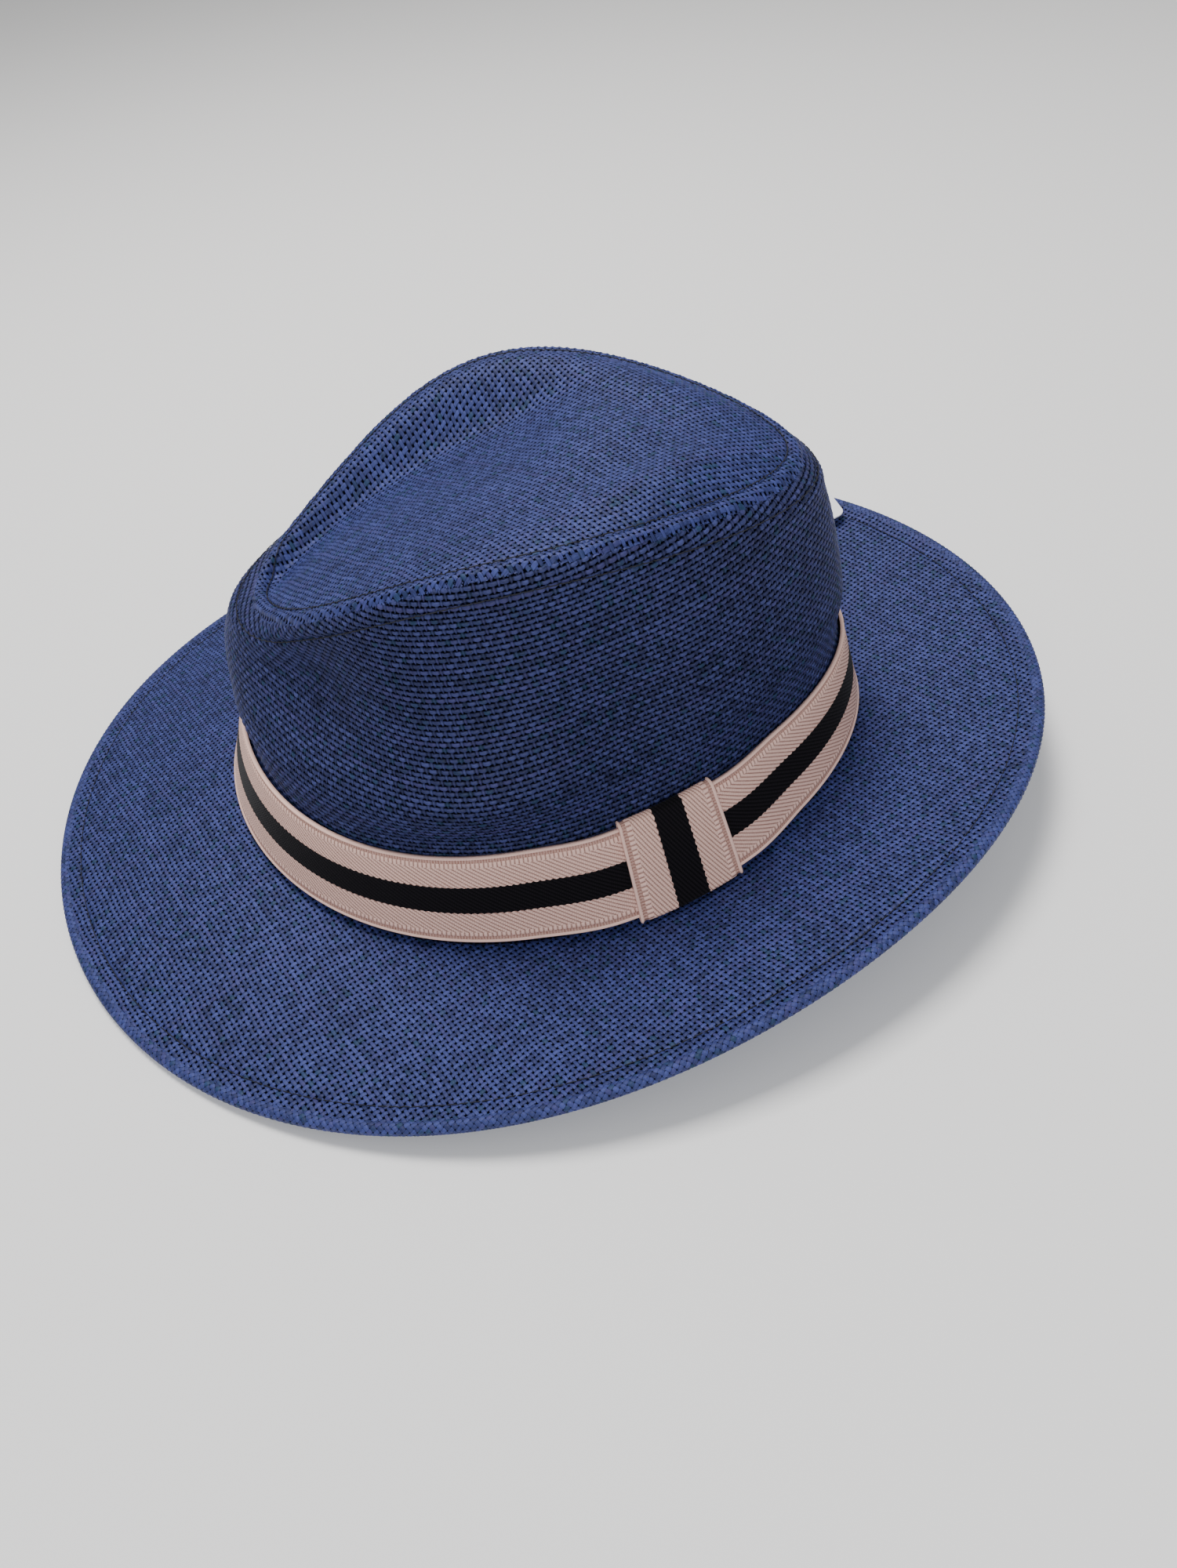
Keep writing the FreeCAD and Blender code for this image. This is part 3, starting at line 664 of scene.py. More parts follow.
def side_lining(material):
    """Inner face of the side panel and its lower edge."""
    t = np.linspace(0, 2 * pi, 361)
    rows = 70
    share = np.concatenate([[0.22, 0.10, CROWN_BOTTOM], np.linspace(CROWN_BOTTOM, 0.985, rows)])
    out = np.concatenate([np.full(3, -0.05), np.full(rows, -CLOTH)])
    net = wall_point(t[:, None], share[None, :], out[None, :])
    up = arc_length(net[0]) / PITCH_UP
    uv = np.stack(np.broadcast_arrays(t[:, None] / (2 * pi) * SIDE_YARNS, up[None, :]), -1)
    return finish_piece(grid_mesh("crown_side_lining", net, uv), material, HAT)


def hem(material):
    """Bead round the edge wire and the hem turned under the brim."""
    turn = np.linspace(0.0, pi, 15)
    under = np.linspace(2.0, HEM_DEPTH, 14)
    back = np.concatenate([[3.0, 2.2], BEAD_RADIUS - BEAD_RADIUS * np.sin(turn), under])
    lift = np.concatenate([[-0.35, 0.02], -BEAD_RADIUS + BEAD_RADIUS * np.cos(turn),
                           -2 * BEAD_RADIUS + 0.9 * smooth(1.5, 5.0, under)])
    arc = arc_length(np.stack([back, lift], -1))
    normal_back = np.concatenate([[0, 0], -np.sin(turn), np.zeros(len(under))])
    normal_lift = np.concatenate([[1, 1], np.cos(turn), -np.ones(len(under))])
    t = ring_angles(2600)
    edge = brim_point(t, brim_width(t), 0.0)
    around = arc_length(edge)
    length = around[-1] + np.linalg.norm(edge[0] - edge[-1])
    diagonal = PITCH_BEAD * 1.414
    along = around[:, None] / length * int(length / diagonal)
    out = arc[None, :] / diagonal
    a, b = along + out + 2000.5, along - out + 2000.0
    height = BEAD_FLATTER * weave(a, b, BEAD_WIDTHS)
    from_edge = brim_width(t)[:, None] - (back[None, :] + normal_back[None, :] * height)
    net = brim_point(t[:, None], from_edge, lift[None, :] + normal_lift[None, :] * height)
    obj = grid_mesh("brim_hem", net, np.stack([a, b], -1), close_rows=True)
    return finish_piece(obj, material, HAT)


# ---------------------------------------------------------------- threads
def stitched_path(t, place, pitch=3.0, dip=0.35, rise=0.10):
    """Thread that surfaces in each stitch and dips between them."""
    flat = place(t, np.zeros_like(t))
    run = arc_length(flat)
    whole = run[-1] + np.linalg.norm(flat[0] - flat[-1])
    count = max(round(whole / pitch), 1)
    phase = (run / whole * count) % 1.0
    lift = rise - (rise + dip) * (1 - smooth(0.0, 0.16, np.minimum(phase, 1 - phase)))
    return place(t, lift)


def lower_stitch(t, lift):
    """Just below the seam, on the swelling of the side panel."""
    low = wall_point(t, TOPSTITCH_LOWER, 0.0)
    high = wall_point(t, 1.0, 0.0)
    left = np.linalg.norm(high - low, axis=-1)
    share = 1 - (1 - TOPSTITCH_LOWER) * BEVEL_SPAN[0] / left
    return wall_point(t, share, BEVEL + lift)


def ring_threads(thread):
    """Rows of stitches that run right round the hat."""
    t = ring_angles()
    fine = ring_angles(2600)
    inside = -2 * CLOTH - SWEATBAND_ROOM - 0.3
    rows = (
        ("brim_hem_stitch", fine, 0.13,
         lambda t, up: brim_point(t, brim_width(t) - HEM_STITCH, up - 0.22)),
        ("tip_topstitch_upper", t, 0.15,
         lambda t, up: tip_point(t, stitch_share(t, TOPSTITCH), up + 0.02)),
        ("tip_topstitch_lower", t, 0.15, lambda t, up: lower_stitch(t, up + 0.02)),
        ("tip_seam_stitch", t, 0.2, lambda t, up: wall_point(t, SEAM_STITCH, up - CLOTH - 0.4)),
        ("crown_brim_stitch", t, 0.2, lambda t, up: wall_point(t, CROWN_STITCH, up - CLOTH - 0.5)),
        ("sweatband_stitch", t, 0.2, lambda t, up: wall_point(t, SWEATBAND_STITCH, inside - up)),
    )
    for name, angles, radius, place in rows:
        obj = tube("thread_" + name, stitched_path(angles, place), radius)
        finish_piece(obj, thread, HAT, name)


def zigzag(count, reach):
    """Swings to either side of a join, as angles round the hat."""
    return reach * np.where(np.arange(count) % 2 == 0, 1, -1) / BREAK_HALF_LENGTH


def short_threads(thread, pale):
    """Stitches that close the joins of the side panel, sweatband, band and keeper."""
    middle = radians(KEEPER_ANGLE)
    uneven_depth = 0.12 * np.sin(np.arange(60) * 1.3)
    seam = wall_point(np.full(60, pi), np.linspace(*BACK_SEAM, 60), -CLOTH - 0.5 + uneven_depth)
    inside = -2 * CLOTH - SWEATBAND_ROOM - THREAD_ROOM - 0.1
    join = wall_point(pi + zigzag(40, 0.5), np.linspace(*SWEATBAND_JOIN, 40), inside)
    lap = band_point(middle + zigzag(30, 3.0), np.linspace(*BAND_JOIN, 30), 0.22)
    tack_share = KEEPER_SEAM + 0.01 * np.sin(np.arange(30))
    tack = band_point(middle + np.linspace(-0.1, 0.1, 30), tack_share, -WEBBING - 0.3)
    rows = (
        ("thread_back_seam_stitch", seam, 0.15, thread, "back_seam_stitch"),
        ("thread_sweatband_join", join, 0.12, thread, "sweatband_join_stitch"),
        ("thread_band_join", lap, 0.12, pale, "band_join_stitch"),
        ("thread_keeper", tack, 0.08, pale, "keeper_stitch"),
    )
    for name, path, radius, material, node in rows:
        finish_piece(tube(name, path, radius, closed=False), material, HAT, node)


# ---------------------------------------------------------------- webbing
def webbing_relief(run, across, width):
    """Height of the webbing: round edges, ribbed channel, ticks, then twill to the middle."""
    edge = np.minimum(across, 1 - across)
    bead = 0.32 * np.exp(-((edge - EDGE_BEAD[0]) / EDGE_BEAD[1]) ** 2)
    in_channel = (smooth(CHANNEL[0] - RELIEF_STEP, CHANNEL[0], edge)
                  * (1 - smooth(CHANNEL[1] - RELIEF_STEP, CHANNEL[1], edge)))
    in_ticks = (smooth(TICKS[0], TICKS[0] + RELIEF_STEP, edge)
                * (1 - smooth(TICKS[1] - RELIEF_STEP, TICKS[1], edge)))
    in_field = smooth(TICKS[1], TICKS[1] + RELIEF_STEP, edge)
    side = across * width
    lean = radians(TWILL_LEAN)
    rib = (run * sin(lean) + side * cos(lean)) / TWILL_PITCH
    along = (run * cos(lean) - side * sin(lean)) / TWILL_BEAD + 0.5 * np.floor(rib)
    twill = np.abs(np.sin(pi * rib)) ** 0.7 * (0.7 + 0.3 * np.abs(np.sin(pi * along)))
    ticks = np.abs(np.sin(pi * run / TICK_PITCH))
    ribs = np.abs(np.sin(pi * run / CHANNEL_PITCH))
    return (bead + in_channel * (0.10 * ribs - 0.26) + in_ticks * 0.16 * ticks
            + in_field * (0.22 * twill - 0.06))


def webbing_rows(count=60):
    return np.concatenate([[0.0, 0.007], np.linspace(0.014, 0.986, count), [0.993, 1.0]])


def hat_band(material):
    """Ring of webbing: ribbed outer face, plain inner face."""
    across = webbing_rows()
    t = np.linspace(0, 2 * pi, 1801)
    run = arc_length(band_point(t, 0.5, 0.0))
    width = BAND_HEIGHT * (BAND_TOP - BAND_BOTTOM)
    share = BAND_BOTTOM + (BAND_TOP - BAND_BOTTOM) * across
    relief = webbing_relief(run[:, None], across[None, :], width)
    outer = band_point(t[:, None], share[None, :], relief - 0.25)
    inner = band_point(t[:, None], share[None, ::-1], np.full_like(relief, 0.1 - WEBBING))
    both = np.concatenate([across, across[::-1]])
    uv = np.stack(np.broadcast_arrays(run[:, None], both[None, :]), -1)
    obj = grid_mesh("hat_band_webbing", np.concatenate([outer, inner], axis=1), uv, close_cols=True)
    return finish_piece(obj, material, HAT, "hat_band")


def keeper_loop(low, high, front, back, rows):
    """Cross-section of the loop: height share, depth and normal at each step round it."""
    fold = np.linspace(0, pi, 9)[1:-1]
    radius = (front - back) / 2
    middle = (front + back) / 2
    rise = 0.62 * radius / BAND_HEIGHT
    up = np.linspace(low + rise, high - rise, rows)
    down = up[::-4]
    back_rows = len(down)
    bulge = 0.25 * np.sin(np.linspace(0, pi, rows))
    share = np.concatenate([up, high - rise + rise * np.sin(fold),
                            down, low + rise - rise * np.sin(fold)])
    out = np.concatenate([front + bulge, middle + radius * np.cos(fold),
                          np.full(back_rows, back), middle - radius * np.cos(fold)])
    normal_out = np.concatenate([np.ones(rows), np.cos(fold), -np.ones(back_rows), -np.cos(fold)])
    normal_up = np.concatenate([np.zeros(rows), np.sin(fold), np.zeros(back_rows), -np.sin(fold)])
    return tuple(np.append(v, v[0])[:, None] for v in (share, out, normal_out, normal_up))


def keeper(material):
    """Loop of webbing round the band: up the front, over the top, down the back and under."""
    share, out, normal_out, normal_up = keeper_loop(*KEEPER_SPAN, *KEEPER_FACES, 100)
    across = webbing_rows(70)
    run = arc_length(np.concatenate([share * BAND_HEIGHT, out], axis=1))[:, None]
    middle = radians(KEEPER_ANGLE)
    speed = arc_speed(lambda t: band_point(t, 0.5, 0.0), middle)
    t = (middle + (across - 0.5) * KEEPER_WIDTH / speed)[None, :]
    relief = webbing_relief(run, across[None, :], KEEPER_WIDTH)
    face = band_point(t, share + normal_up * relief / BAND_HEIGHT, out + normal_out * relief)
    inner = band_point(t[:, ::-1], share - normal_up * KEEPER_WEBBING / BAND_HEIGHT + 0 * relief,
                       out - normal_out * KEEPER_WEBBING + 0 * relief)
    both = np.concatenate([across, across[::-1]])
    uv = np.stack(np.broadcast_arrays(run, both[None, :]), -1)
    obj = grid_mesh("band_keeper_webbing", np.concatenate([face, inner], axis=1), uv, close_cols=True)
    return finish_piece(obj, material, HAT, "band_keeper")


# ---------------------------------------------------------------- inner ribbons, wire, label
def ribbon_ring(name, material, cross_section, node):
    """Ribbon right round the inside of the side panel."""
    shares, outs = cross_section
    t = ring_angles(360)
    net = wall_point(t[:, None], shares[None, :], outs[None, :])
    run = np.linspace(0, RIBBON_RUN, 361)
    closed = np.concatenate([net, net[:1]])
    uv = np.stack(np.broadcast_arrays(run[:, None], np.arange(len(shares))[None, :] * 1.0), -1)
    obj = grid_mesh(name, closed, uv, close_cols=True)
    return finish_piece(obj, material, HAT, node)


def outline(low, high, face, thick, steps=8):
    """Shares and depths round a ribbon's cross-section, with rounded edges."""
    up = np.linspace(low, high, steps)
    shares = np.concatenate([up, up[::-1]])
    inset = np.where((np.arange(steps) == 0) | (np.arange(steps) == steps - 1), 0.3 * thick, 0.0)
    outs = np.concatenate([face - inset, face - thick + inset])
    return shares, outs


def inner_pieces(ribbon, tape, label):
    sweatband_face = -CLOTH - SWEATBAND_ROOM
    ribbon_ring("sweatband_ribbon", ribbon, outline(*SWEATBAND_SPAN, sweatband_face, CLOTH, 14),
                "sweatband")
    ribbon_ring("tip_seam_binding", tape, outline(*SEAM_TAPE, -CLOTH - GAP, BINDING),
                "tip_seam_tape")
    patch("back_seam_binding", tape, pi, BACK_TAPE_WIDTH,
          outline(*BACK_TAPE, -CLOTH - 1.05, BINDING, 14), "back_seam_tape")
    patch("inner_label_satin", label, radians(LABEL_ANGLE), LABEL_WIDTH,
          outline(*LABEL_SPAN, sweatband_face - CLOTH - THREAD_ROOM, LABEL_THICK, 14), "inner_label")


def patch(name, material, middle, width, cross_section, node):
    """Rectangle of ribbon on the inside of the side panel."""
    share, out = cross_section
    speed = arc_speed(lambda t: wall_point(t, 0.2, 0.0), middle)
    t = middle + np.linspace(-0.5, 0.5, 12) * width / speed
    net = wall_point(t[:, None], share[None, :], out[None, :])
    uv = np.stack(np.broadcast_arrays(np.linspace(0, width, 12)[:, None], share[None, :] * 100), -1)
    obj = grid_mesh(name, net, uv, close_cols=True)
    return finish_piece(obj, material, HAT, node)


def brim_wire(material):
    t = ring_angles(700)
    path = brim_point(t, brim_width(t) - BEAD_RADIUS, -BEAD_RADIUS)
    return finish_piece(tube("edge_wire", path, WIRE_RADIUS), material, HAT, "brim_wire")


# ---------------------------------------------------------------- swing tag
def tag_axes():
    joint = frame["record"]["behaviour"]["joints"][0]
    normal = Vector(joint["axis"]).normalized()
    long_way = Vector((-cos(radians(TAG_TURN)), -sin(radians(TAG_TURN)), 0))
    long_way = (long_way - normal * long_way.dot(normal)).normalized()
    return Vector(joint["pos_m"]) * 1000, long_way, normal.cross(long_way), normal


def card_outline(count=10):
    """Rounded rectangle, anticlockwise, in the card's own plane."""
    far, near, side = TAG_LENGTH - TAG_EDGE, -TAG_EDGE, TAG_WIDTH / 2
    corners = ((far, side), (near, side), (near, -side), (far, -side))
    ring = []
    for i, (x, y) in enumerate(corners):
        cx = x - TAG_CORNER if x > 0 else x + TAG_CORNER
        cy = y - TAG_CORNER if y > 0 else y + TAG_CORNER
        for k in range(count):
            angle = pi / 2 * (i + k / (count - 1))
            ring.append((cx + TAG_CORNER * cos(angle), cy + TAG_CORNER * sin(angle)))
    return np.array(ring)


def swing_tag(material):
    spot, long_way, across, normal = (np.array(v) for v in tag_axes())
    rim = card_outline()
    angle = np.arctan2(rim[:, 1], rim[:, 0])
    hole = TAG_HOLE * np.stack([np.cos(angle), np.sin(angle)], -1)
    inset, bevel = rim * 0.998, 0.06
    levels = ((hole, 0.0), (inset, 0.0), (rim, bevel), (rim, TAG_CARD - bevel),
              (inset, TAG_CARD), (hole, TAG_CARD), (hole, 0.0))
    net = np.stack([spot + ring[:, :1] * long_way + ring[:, 1:] * across + normal * (TAG_LIFT + lift)
                    for ring, lift in levels])
    obj = grid_mesh("swing_tag_card", net, None, close_cols=True)
    for polygon in obj.data.polygons:
        polygon.use_smooth = False
    return finish_piece(obj, material, TAG, "swing_tag")


def tag_fastener(material):
    spot, long_way, across, normal = (np.array(v) for v in tag_axes())
    low, high = -CLOTH - FOOT_DROP, TAG_LIFT + TAG_CARD + PIN_SPARE
    steps = np.linspace(0, 1, 8)[:, None]
    pin_path = spot + normal * (low + (high - low) * steps)
    bar_path = spot + normal * low + across * FOOT_LENGTH * (steps - 0.5)
    pin = tube("fastener_pin", pin_path, PIN_RADIUS, closed=False, sides=12)
    bar = tube("fastener_bar", bar_path, FOOT_RADIUS, closed=False, sides=12)
    angle = ring_angles(24)
    rings = ((0.01, 0.0), (2.6, 0.0), (2.8, 0.2), (2.8, 0.6), (2.5, 0.8), (0.01, 0.85))
    net = np.stack([spot + r * (np.cos(angle)[:, None] * long_way + np.sin(angle)[:, None] * across)
                    + normal * (high + up - 0.1) for r, up in rings])
    head = grid_mesh("fastener_head", net, None, close_cols=True)
    finish_piece(pin, material, HAT, "tag_fastener")
    finish_piece(bar, material, HAT)
    finish_piece(head, material, HAT)


# ---------------------------------------------------------------- materials
class Nodes:
    """Short ways to add shader nodes."""

    def __init__(self, name):
        self.material = bpy.data.materials.new(name)
        self.material.use_nodes = True
        self.tree = self.material.node_tree
        self.shader = self.tree.nodes["Principled BSDF"]

    def add(self, kind, **settings):
        node = self.tree.nodes.new(kind)
        for key, value in settings.items():
            setattr(node, key, value)
        return node

    def link(self, source, socket):
        self.tree.links.new(source, socket)

    def feed(self, socket, value):
        if isinstance(value, bpy.types.NodeSocket):
            self.link(value, socket)
        else:
            socket.default_value = value

    def math(self, operation, first, second=0.0):
        node = self.add("ShaderNodeMath", operation=operation)
        for socket, value in zip(node.inputs, (first, second)):
            self.feed(socket, value)
        return node.outputs[0]

    def times(self, first, second):
        return self.math("MULTIPLY", first, second)

    def plus(self, first, second):
        return self.math("ADD", first, second)

    def minus(self, first, second):
        return self.math("SUBTRACT", first, second)

    def pick(self, switch, first, second):
        """first where the switch is 0, second where it is 1."""
        node = self.add("ShaderNodeMix", data_type="FLOAT")
        for socket, value in zip(node.inputs[:4], (switch, None, first, second)):
            if value is not None:
                self.feed(socket, value)
        return node.outputs[0]

    def wave(self, value):
        """0 at whole numbers, 1 halfway between them."""
        return self.math("ABSOLUTE", self.math("SINE", self.times(value, pi)))

    def white(self, vector):
        node = self.add("ShaderNodeTexWhiteNoise", noise_dimensions="3D")
        self.link(vector, node.inputs["Vector"])
        return node.outputs["Value"]

    def mix(self, factor, first, second):
        node = self.add("ShaderNodeMix", data_type="RGBA")
        self.feed(node.inputs["Factor"], factor)
        self.feed(node.inputs["A"], first)
        self.feed(node.inputs["B"], second)
        return node.outputs["Result"]

    def ramp(self, value, low, high, out_low=0.0, out_high=1.0):
        node = self.add("ShaderNodeMapRange")
        for socket, item in zip(node.inputs, (value, low, high, out_low, out_high)):
            self.feed(socket, item)
        return node.outputs[0]

    def noise(self, vector, scale, detail=2.0):
        node = self.add("ShaderNodeTexNoise")
        self.feed(node.inputs["Vector"], vector)
        node.inputs["Scale"].default_value = scale
        node.inputs["Detail"].default_value = detail
        return node.outputs["Fac"]

    def coordinates(self):
        uv = self.add("ShaderNodeUVMap", uv_map="cloth").outputs["UV"]
        split = self.add("ShaderNodeSeparateXYZ")
        self.link(uv, split.inputs[0])
        return split.outputs[0], split.outputs[1]

    def vector(self, x, y, z=0.0):
        node = self.add("ShaderNodeCombineXYZ")
        for socket, value in zip(node.inputs, (x, y, z)):
            self.feed(socket, value)
        return node.outputs[0]

    def bump(self, height, strength, distance):
        node = self.add("ShaderNodeBump")
        node.inputs["Strength"].default_value = strength
        node.inputs["Distance"].default_value = distance
        self.link(height, node.inputs["Height"])
        self.link(node.outputs[0], self.shader.inputs["Normal"])

    def set(self, **values):
        for key, value in values.items():
            self.feed(self.shader.inputs[key.replace("_", " ")], value)


def colour(r, g, b):
    return (r, g, b, 1.0)


GREENISH = colour(0.014, 0.062, 0.120)
PURPLISH = colour(0.040, 0.030, 0.115)
# Near-black painted shadow for the gaps between yarns
GAP_PAINTED_SHADOW = colour(0.0012, 0.0014, 0.004)


def yarn_set(n, across, along, width, over, seed):
    """Height, distance from the yarn's middle, and shade of one set of yarns at each point."""
    middle = n.math("ABSOLUTE", n.minus(n.math("FRACT", across), 0.5))
    middle = n.times(middle, 2.0 / width)
    wave = n.math("POWER", n.math("SINE", n.times(n.math("FRACT", along), pi)), YARN_SQUARE)
    shape = n.minus(YARN_THICK, n.times(n.math("POWER", middle, 3.0), YARN_THICK))
    height = n.plus(n.times(wave, over), shape)
    height = n.minus(height, n.times(n.math("GREATER_THAN", middle, 1.0), 9.0))
    grain = n.vector(n.times(across, 11.0), n.times(along, 1.1), seed)
    crease = n.noise(grain, 1.0, 3.0)
    yarn = n.white(n.vector(n.math("FLOOR", across), seed))
    return height, middle, crease, yarn


def straw(name, widths, bias, dark, light):
    """Paper straw. The weave is worked out at each point: top yarn, its edges, its tone, the gaps, and
    painted shade that darkens the dips, the yarn edges and the gaps.
    """
    n = Nodes(name)
    a, b = n.coordinates()
    cell = n.vector(n.math("FLOOR", a), n.math("FLOOR", b))
    odd = n.math("MODULO", n.plus(n.math("FLOOR", a), n.math("FLOOR", b)), 2.0)
    over = n.minus(YARN_WAVE, n.times(odd, 2 * YARN_WAVE))
    first = yarn_set(n, a, b, widths[0], over, 3.0)
    second = yarn_set(n, b, a, widths[1], n.times(over, -1.0), 8.0)
    low = n.minus(first[0], 2 * bias)
    on_top = n.math("GREATER_THAN", low, second[0])
    height = n.math("MAXIMUM", low, second[0])
    middle, crease, yarn = (n.pick(on_top, second[i], first[i]) for i in (1, 2, 3))
    crossing = n.white(cell)
    cloudy = n.noise(n.vector(a, b, 2.0), 0.06, 2.0)
    shade = n.plus(n.times(yarn, YARN_SHADE), n.times(crossing, CROSSING_SHADE))
    shade = n.plus(shade, n.ramp(crease, 0.3, 0.7, *CREASE_SHADE))
    shade = n.plus(shade, n.ramp(cloudy, 0.3, 0.7, *CLOUD_SHADE))
    cloth = n.mix(shade, dark, light)
    cloth = n.mix(n.ramp(yarn, 0.80, 0.95, 0.0, 0.35), cloth, PURPLISH)
    cloth = n.mix(n.ramp(crossing, 0.10, 0.02, 0.0, 0.40), cloth, GREENISH)
    # painted shade: the straw darkens where a yarn dips under its neighbour and towards each yarn's edge
    painted_dip_shade = n.ramp(height, -0.16, 0.24, 0.03, 1.0)
    painted_shading = n.times(painted_dip_shade, n.ramp(middle, 0.80, 1.0, 1.0, 0.35))
    # painted shadow: the gaps between yarns get the near-black colour
    gap = n.math("LESS_THAN", height, -2.0)
    painted_shading = n.times(painted_shading, n.minus(1.0, gap))
    n.set(Base_Color=n.mix(painted_shading, GAP_PAINTED_SHADOW, cloth))
    n.set(Roughness=n.ramp(crease, 0.3, 0.7, 0.42, 0.60), Specular_IOR_Level=n.times(painted_shading, 0.22))
    relief = n.plus(n.math("MAXIMUM", height, -0.5), n.times(crease, 0.55))
    n.bump(relief, 0.55, 0.00030)
    return n.material


# The darker beige and black below are painted shade, for the low parts of the webbing's relief
BEIGE_PAINTED_GROOVE_SHADE = colour(0.280, 0.122, 0.090)
BEIGE_LIGHT = colour(0.90, 0.58, 0.49)
BEIGE_SPECKLE = colour(0.98, 0.74, 0.66)
BLACK_PAINTED_GROOVE_SHADE = colour(0.0015, 0.0015, 0.002)
BLACK_LIGHT = colour(0.011, 0.009, 0.012)


def webbing(name, width):
    """Beige elastic with a dark middle stripe. Colours follow the ribs that the mesh has, with painted
    shade darkening the low parts of the relief.
    """
    n = Nodes(name)
    run, across = n.coordinates()
    side = n.times(across, width)
    middle = n.math("ABSOLUTE", n.minus(across, 0.5))
    lean = radians(TWILL_LEAN)
    rib = n.plus(n.times(run, sin(lean) / TWILL_PITCH),
                 n.times(side, cos(lean) / TWILL_PITCH))
    along = n.minus(n.times(run, cos(lean) / TWILL_BEAD),
                    n.times(side, sin(lean) / TWILL_BEAD))
    along = n.plus(along, n.times(n.math("FLOOR", rib), 0.5))
    twill = n.times(n.wave(rib), n.ramp(n.wave(along), 0.0, 1.0, 0.55, 1.0))
    edge = n.minus(0.5, middle)
    border = n.math("LESS_THAN", edge, TICKS[1])
    channel = n.times(n.math("GREATER_THAN", edge, CHANNEL[0]),
                      n.math("LESS_THAN", edge, CHANNEL[1]))
    bead = n.math("LESS_THAN", edge, CHANNEL[0])
    ticks = n.wave(n.times(run, 1 / TICK_PITCH))
    ribs = n.ramp(n.wave(n.times(run, 1 / CHANNEL_PITCH)), 0.0, 1.0, 0.0, 0.35)
    relief = n.pick(border, twill, ticks)
    relief = n.pick(channel, relief, ribs)
    relief = n.pick(bead, relief, 0.85)
    speckle = n.noise(n.vector(n.times(run, 2.6), n.times(side, 2.6)), 1.0, 3.0)
    # painted shade: beige and black darken where the relief is low
    beige = n.mix(n.ramp(relief, 0.10, 0.80), BEIGE_PAINTED_GROOVE_SHADE, BEIGE_LIGHT)
    beige = n.mix(n.ramp(speckle, 0.35, 0.7, 0.0, 0.30), beige, BEIGE_SPECKLE)
    black = n.mix(n.ramp(relief, 0.1, 1.0), BLACK_PAINTED_GROOVE_SHADE, BLACK_LIGHT)
    wobble = n.times(n.minus(n.wave(n.times(run, 0.55)), 0.5), 0.012)
    in_stripe = n.math("LESS_THAN", n.plus(middle, wobble), STRIPE_HALF)
    n.set(Base_Color=n.mix(in_stripe, beige, black), Roughness=0.80, Sheen_Weight=0.05)
    n.set(Specular_IOR_Level=n.pick(in_stripe, 0.25, 0.08))
    n.bump(n.plus(relief, n.times(speckle, 0.6)), 0.5, 0.00025)
    return n.material


def plain(name, base, roughness, **more):
    """One colour, for threads, wire, nylon and floor."""
    n = Nodes(name)
    n.set(Base_Color=base, Roughness=roughness, **more)
    return n.material


def ribbed(name, base, light, ribs, roughness=0.8):
    """Grosgrain or tape: fine ribs across the ribbon, with painted shade in the grooves between them."""
    n = Nodes(name)
    run, across = n.coordinates()
    rib = n.math("ABSOLUTE", n.minus(n.math("FRACT", n.times(run, ribs)), 0.5))
    # painted shade: the base colour fills the grooves between the ribs, the lighter colour their tops
    n.set(Base_Color=n.mix(n.times(rib, 2.0), base, light), Roughness=roughness)
    n.bump(rib, 0.5, 0.0003)
    return n.material


def card():
    """Smooth white card with a very fine grain."""
    n = Nodes("blank_card")
    place = n.add("ShaderNodeTexCoord").outputs["Object"]
    grain = n.noise(place, 900.0, 3.0)
    n.set(Base_Color=n.mix(grain, colour(0.80, 0.81, 0.86), colour(0.88, 0.89, 0.93)), Roughness=0.45)
    n.bump(grain, 0.1, 0.0001)
    return n.material


# ---------------------------------------------------------------- camera, light, floor
def camera():
    azimuth, elevation, roll = radians(CAMERA_AZIMUTH), radians(CAMERA_ELEVATION), radians(CAMERA_ROLL)
    back = Vector((sin(azimuth) * cos(elevation), -cos(azimuth) * cos(elevation), sin(elevation)))
    level = Vector((cos(azimuth), sin(azimuth), 0))
    up = back.cross(level)
    right = level * cos(roll) + up * sin(roll)
    up = up * cos(roll) - level * sin(roll)
    target = Vector((0, 0, CAMERA_TARGET_HEIGHT)) + right * CAMERA_SHIFT[0] + up * CAMERA_SHIFT[1]
    data = bpy.data.cameras.new("camera")
    data.lens = CAMERA_LENS
    data.sensor_width = SENSOR_WIDTH
    data.clip_start = 0.01
    obj = bpy.data.objects.new("camera", data)
    turn = Matrix((right, up, back)).transposed()
    obj.matrix_world = Matrix.Translation(target + back * CAMERA_DISTANCE) @ turn.to_4x4()
    bpy.context.scene.collection.objects.link(obj)
    bpy.context.scene.camera = obj


def area_light(name, place, look, size, power, tint):
    data = bpy.data.lights.new(name, "AREA")
    data.shape = "SQUARE"
    data.size = size
    data.energy = power
    data.color = tint
    obj = bpy.data.objects.new(name, data)
    obj.location = place
    obj.rotation_mode = "QUATERNION"
    obj.rotation_quaternion = (Vector(look) - Vector(place)).to_track_quat("-Z", "Y")
    bpy.context.scene.collection.objects.link(obj)


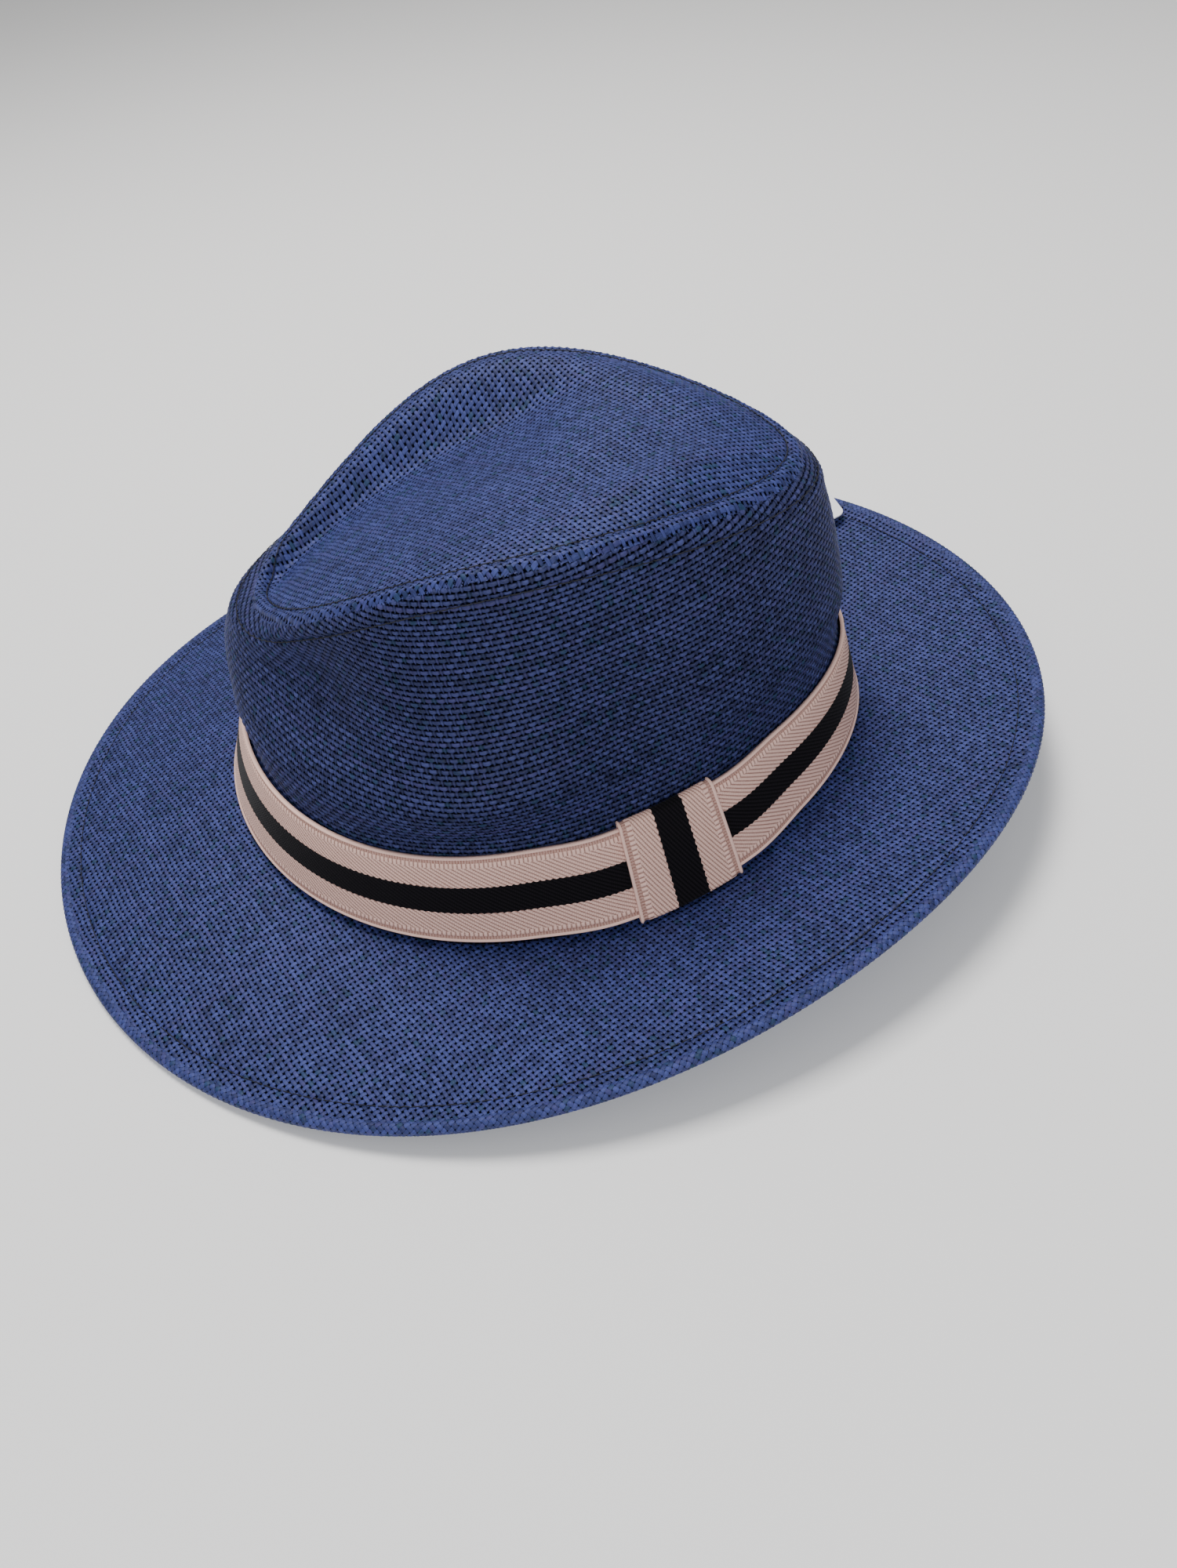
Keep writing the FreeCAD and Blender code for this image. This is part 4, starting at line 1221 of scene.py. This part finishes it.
def lighting():
    world = bpy.data.worlds.new("world")
    bpy.context.scene.world = world
    world.use_nodes = True
    background = world.node_tree.nodes["Background"]
    background.inputs["Color"].default_value = (1.0, 1.0, 1.0, 1.0)
    background.inputs["Strength"].default_value = WORLD_STRENGTH
    area_light("key", KEY_PLACE, LIGHT_TARGET, KEY_SIZE, KEY_POWER, (1.0, 0.98, 0.96))
    area_light("fill", FILL_PLACE, LIGHT_TARGET, FILL_SIZE, FILL_POWER, (0.95, 0.97, 1.0))


def floor():
    low = size_of_cad[0][2] - FLOOR_DROP
    reach = FLOOR_REACH
    corners = ((-reach, -reach), (reach, -reach), (reach, reach), (-reach, reach))
    verts = np.array([(x, y, low) for x, y in corners]) * 1000
    obj = make_mesh("floor", verts, [[0, 1, 2, 3]])
    obj.data.materials.append(plain("floor_paint", colour(0.92, 0.92, 0.92), 0.9))


# ---------------------------------------------------------------- build
FLAT_SHADES = (colour(0.0075, 0.0105, 0.046), colour(0.056, 0.074, 0.262))
# painted shade: the side panel's straw colours are a darker, less blue copy of the flat straw's
SIDE_SHADES_PAINTED_DARKER = (colour(0.0070, 0.0092, 0.036), colour(0.056, 0.068, 0.215))
flat_straw = straw("flat_straw", FLAT_WIDTHS, 0.0, *FLAT_SHADES)
side_straw = straw("side_straw", SIDE_WIDTHS, SIDE_BIAS, *SIDE_SHADES_PAINTED_DARKER)
bead_straw = straw("bead_straw", BEAD_WIDTHS, 0.0, *FLAT_SHADES)
dark_thread = plain("blue_thread", colour(0.003, 0.004, 0.012), 0.7)
pale_thread = plain("pale_thread", colour(0.60, 0.45, 0.38), 0.8)

brim_cloth(flat_straw)
brim_underside(flat_straw)
hem(bead_straw)
tip_cloth(flat_straw)
tip_lining(flat_straw)
side_cloth(side_straw)
side_lining(side_straw)
ring_threads(dark_thread)
short_threads(dark_thread, pale_thread)
hat_band(webbing("band_webbing", BAND_HEIGHT * (BAND_TOP - BAND_BOTTOM)))
keeper(webbing("keeper_webbing", KEEPER_WIDTH))
inner_pieces(ribbed("sweatband_ribbon", colour(0.010, 0.012, 0.03), colour(0.03, 0.036, 0.08), 1.1),
             ribbed("seam_tape", colour(0.012, 0.018, 0.05), colour(0.03, 0.045, 0.12), 1.6),
             ribbed("label_satin", colour(0.72, 0.72, 0.70), colour(0.86, 0.86, 0.84), 2.5, 0.5))
brim_wire(plain("edge_wire", colour(0.45, 0.45, 0.46), 0.35, Metallic=1.0))
swing_tag(card())
tag_fastener(plain("clear_nylon", colour(0.80, 0.81, 0.82), 0.3))

camera()
lighting()
floor()
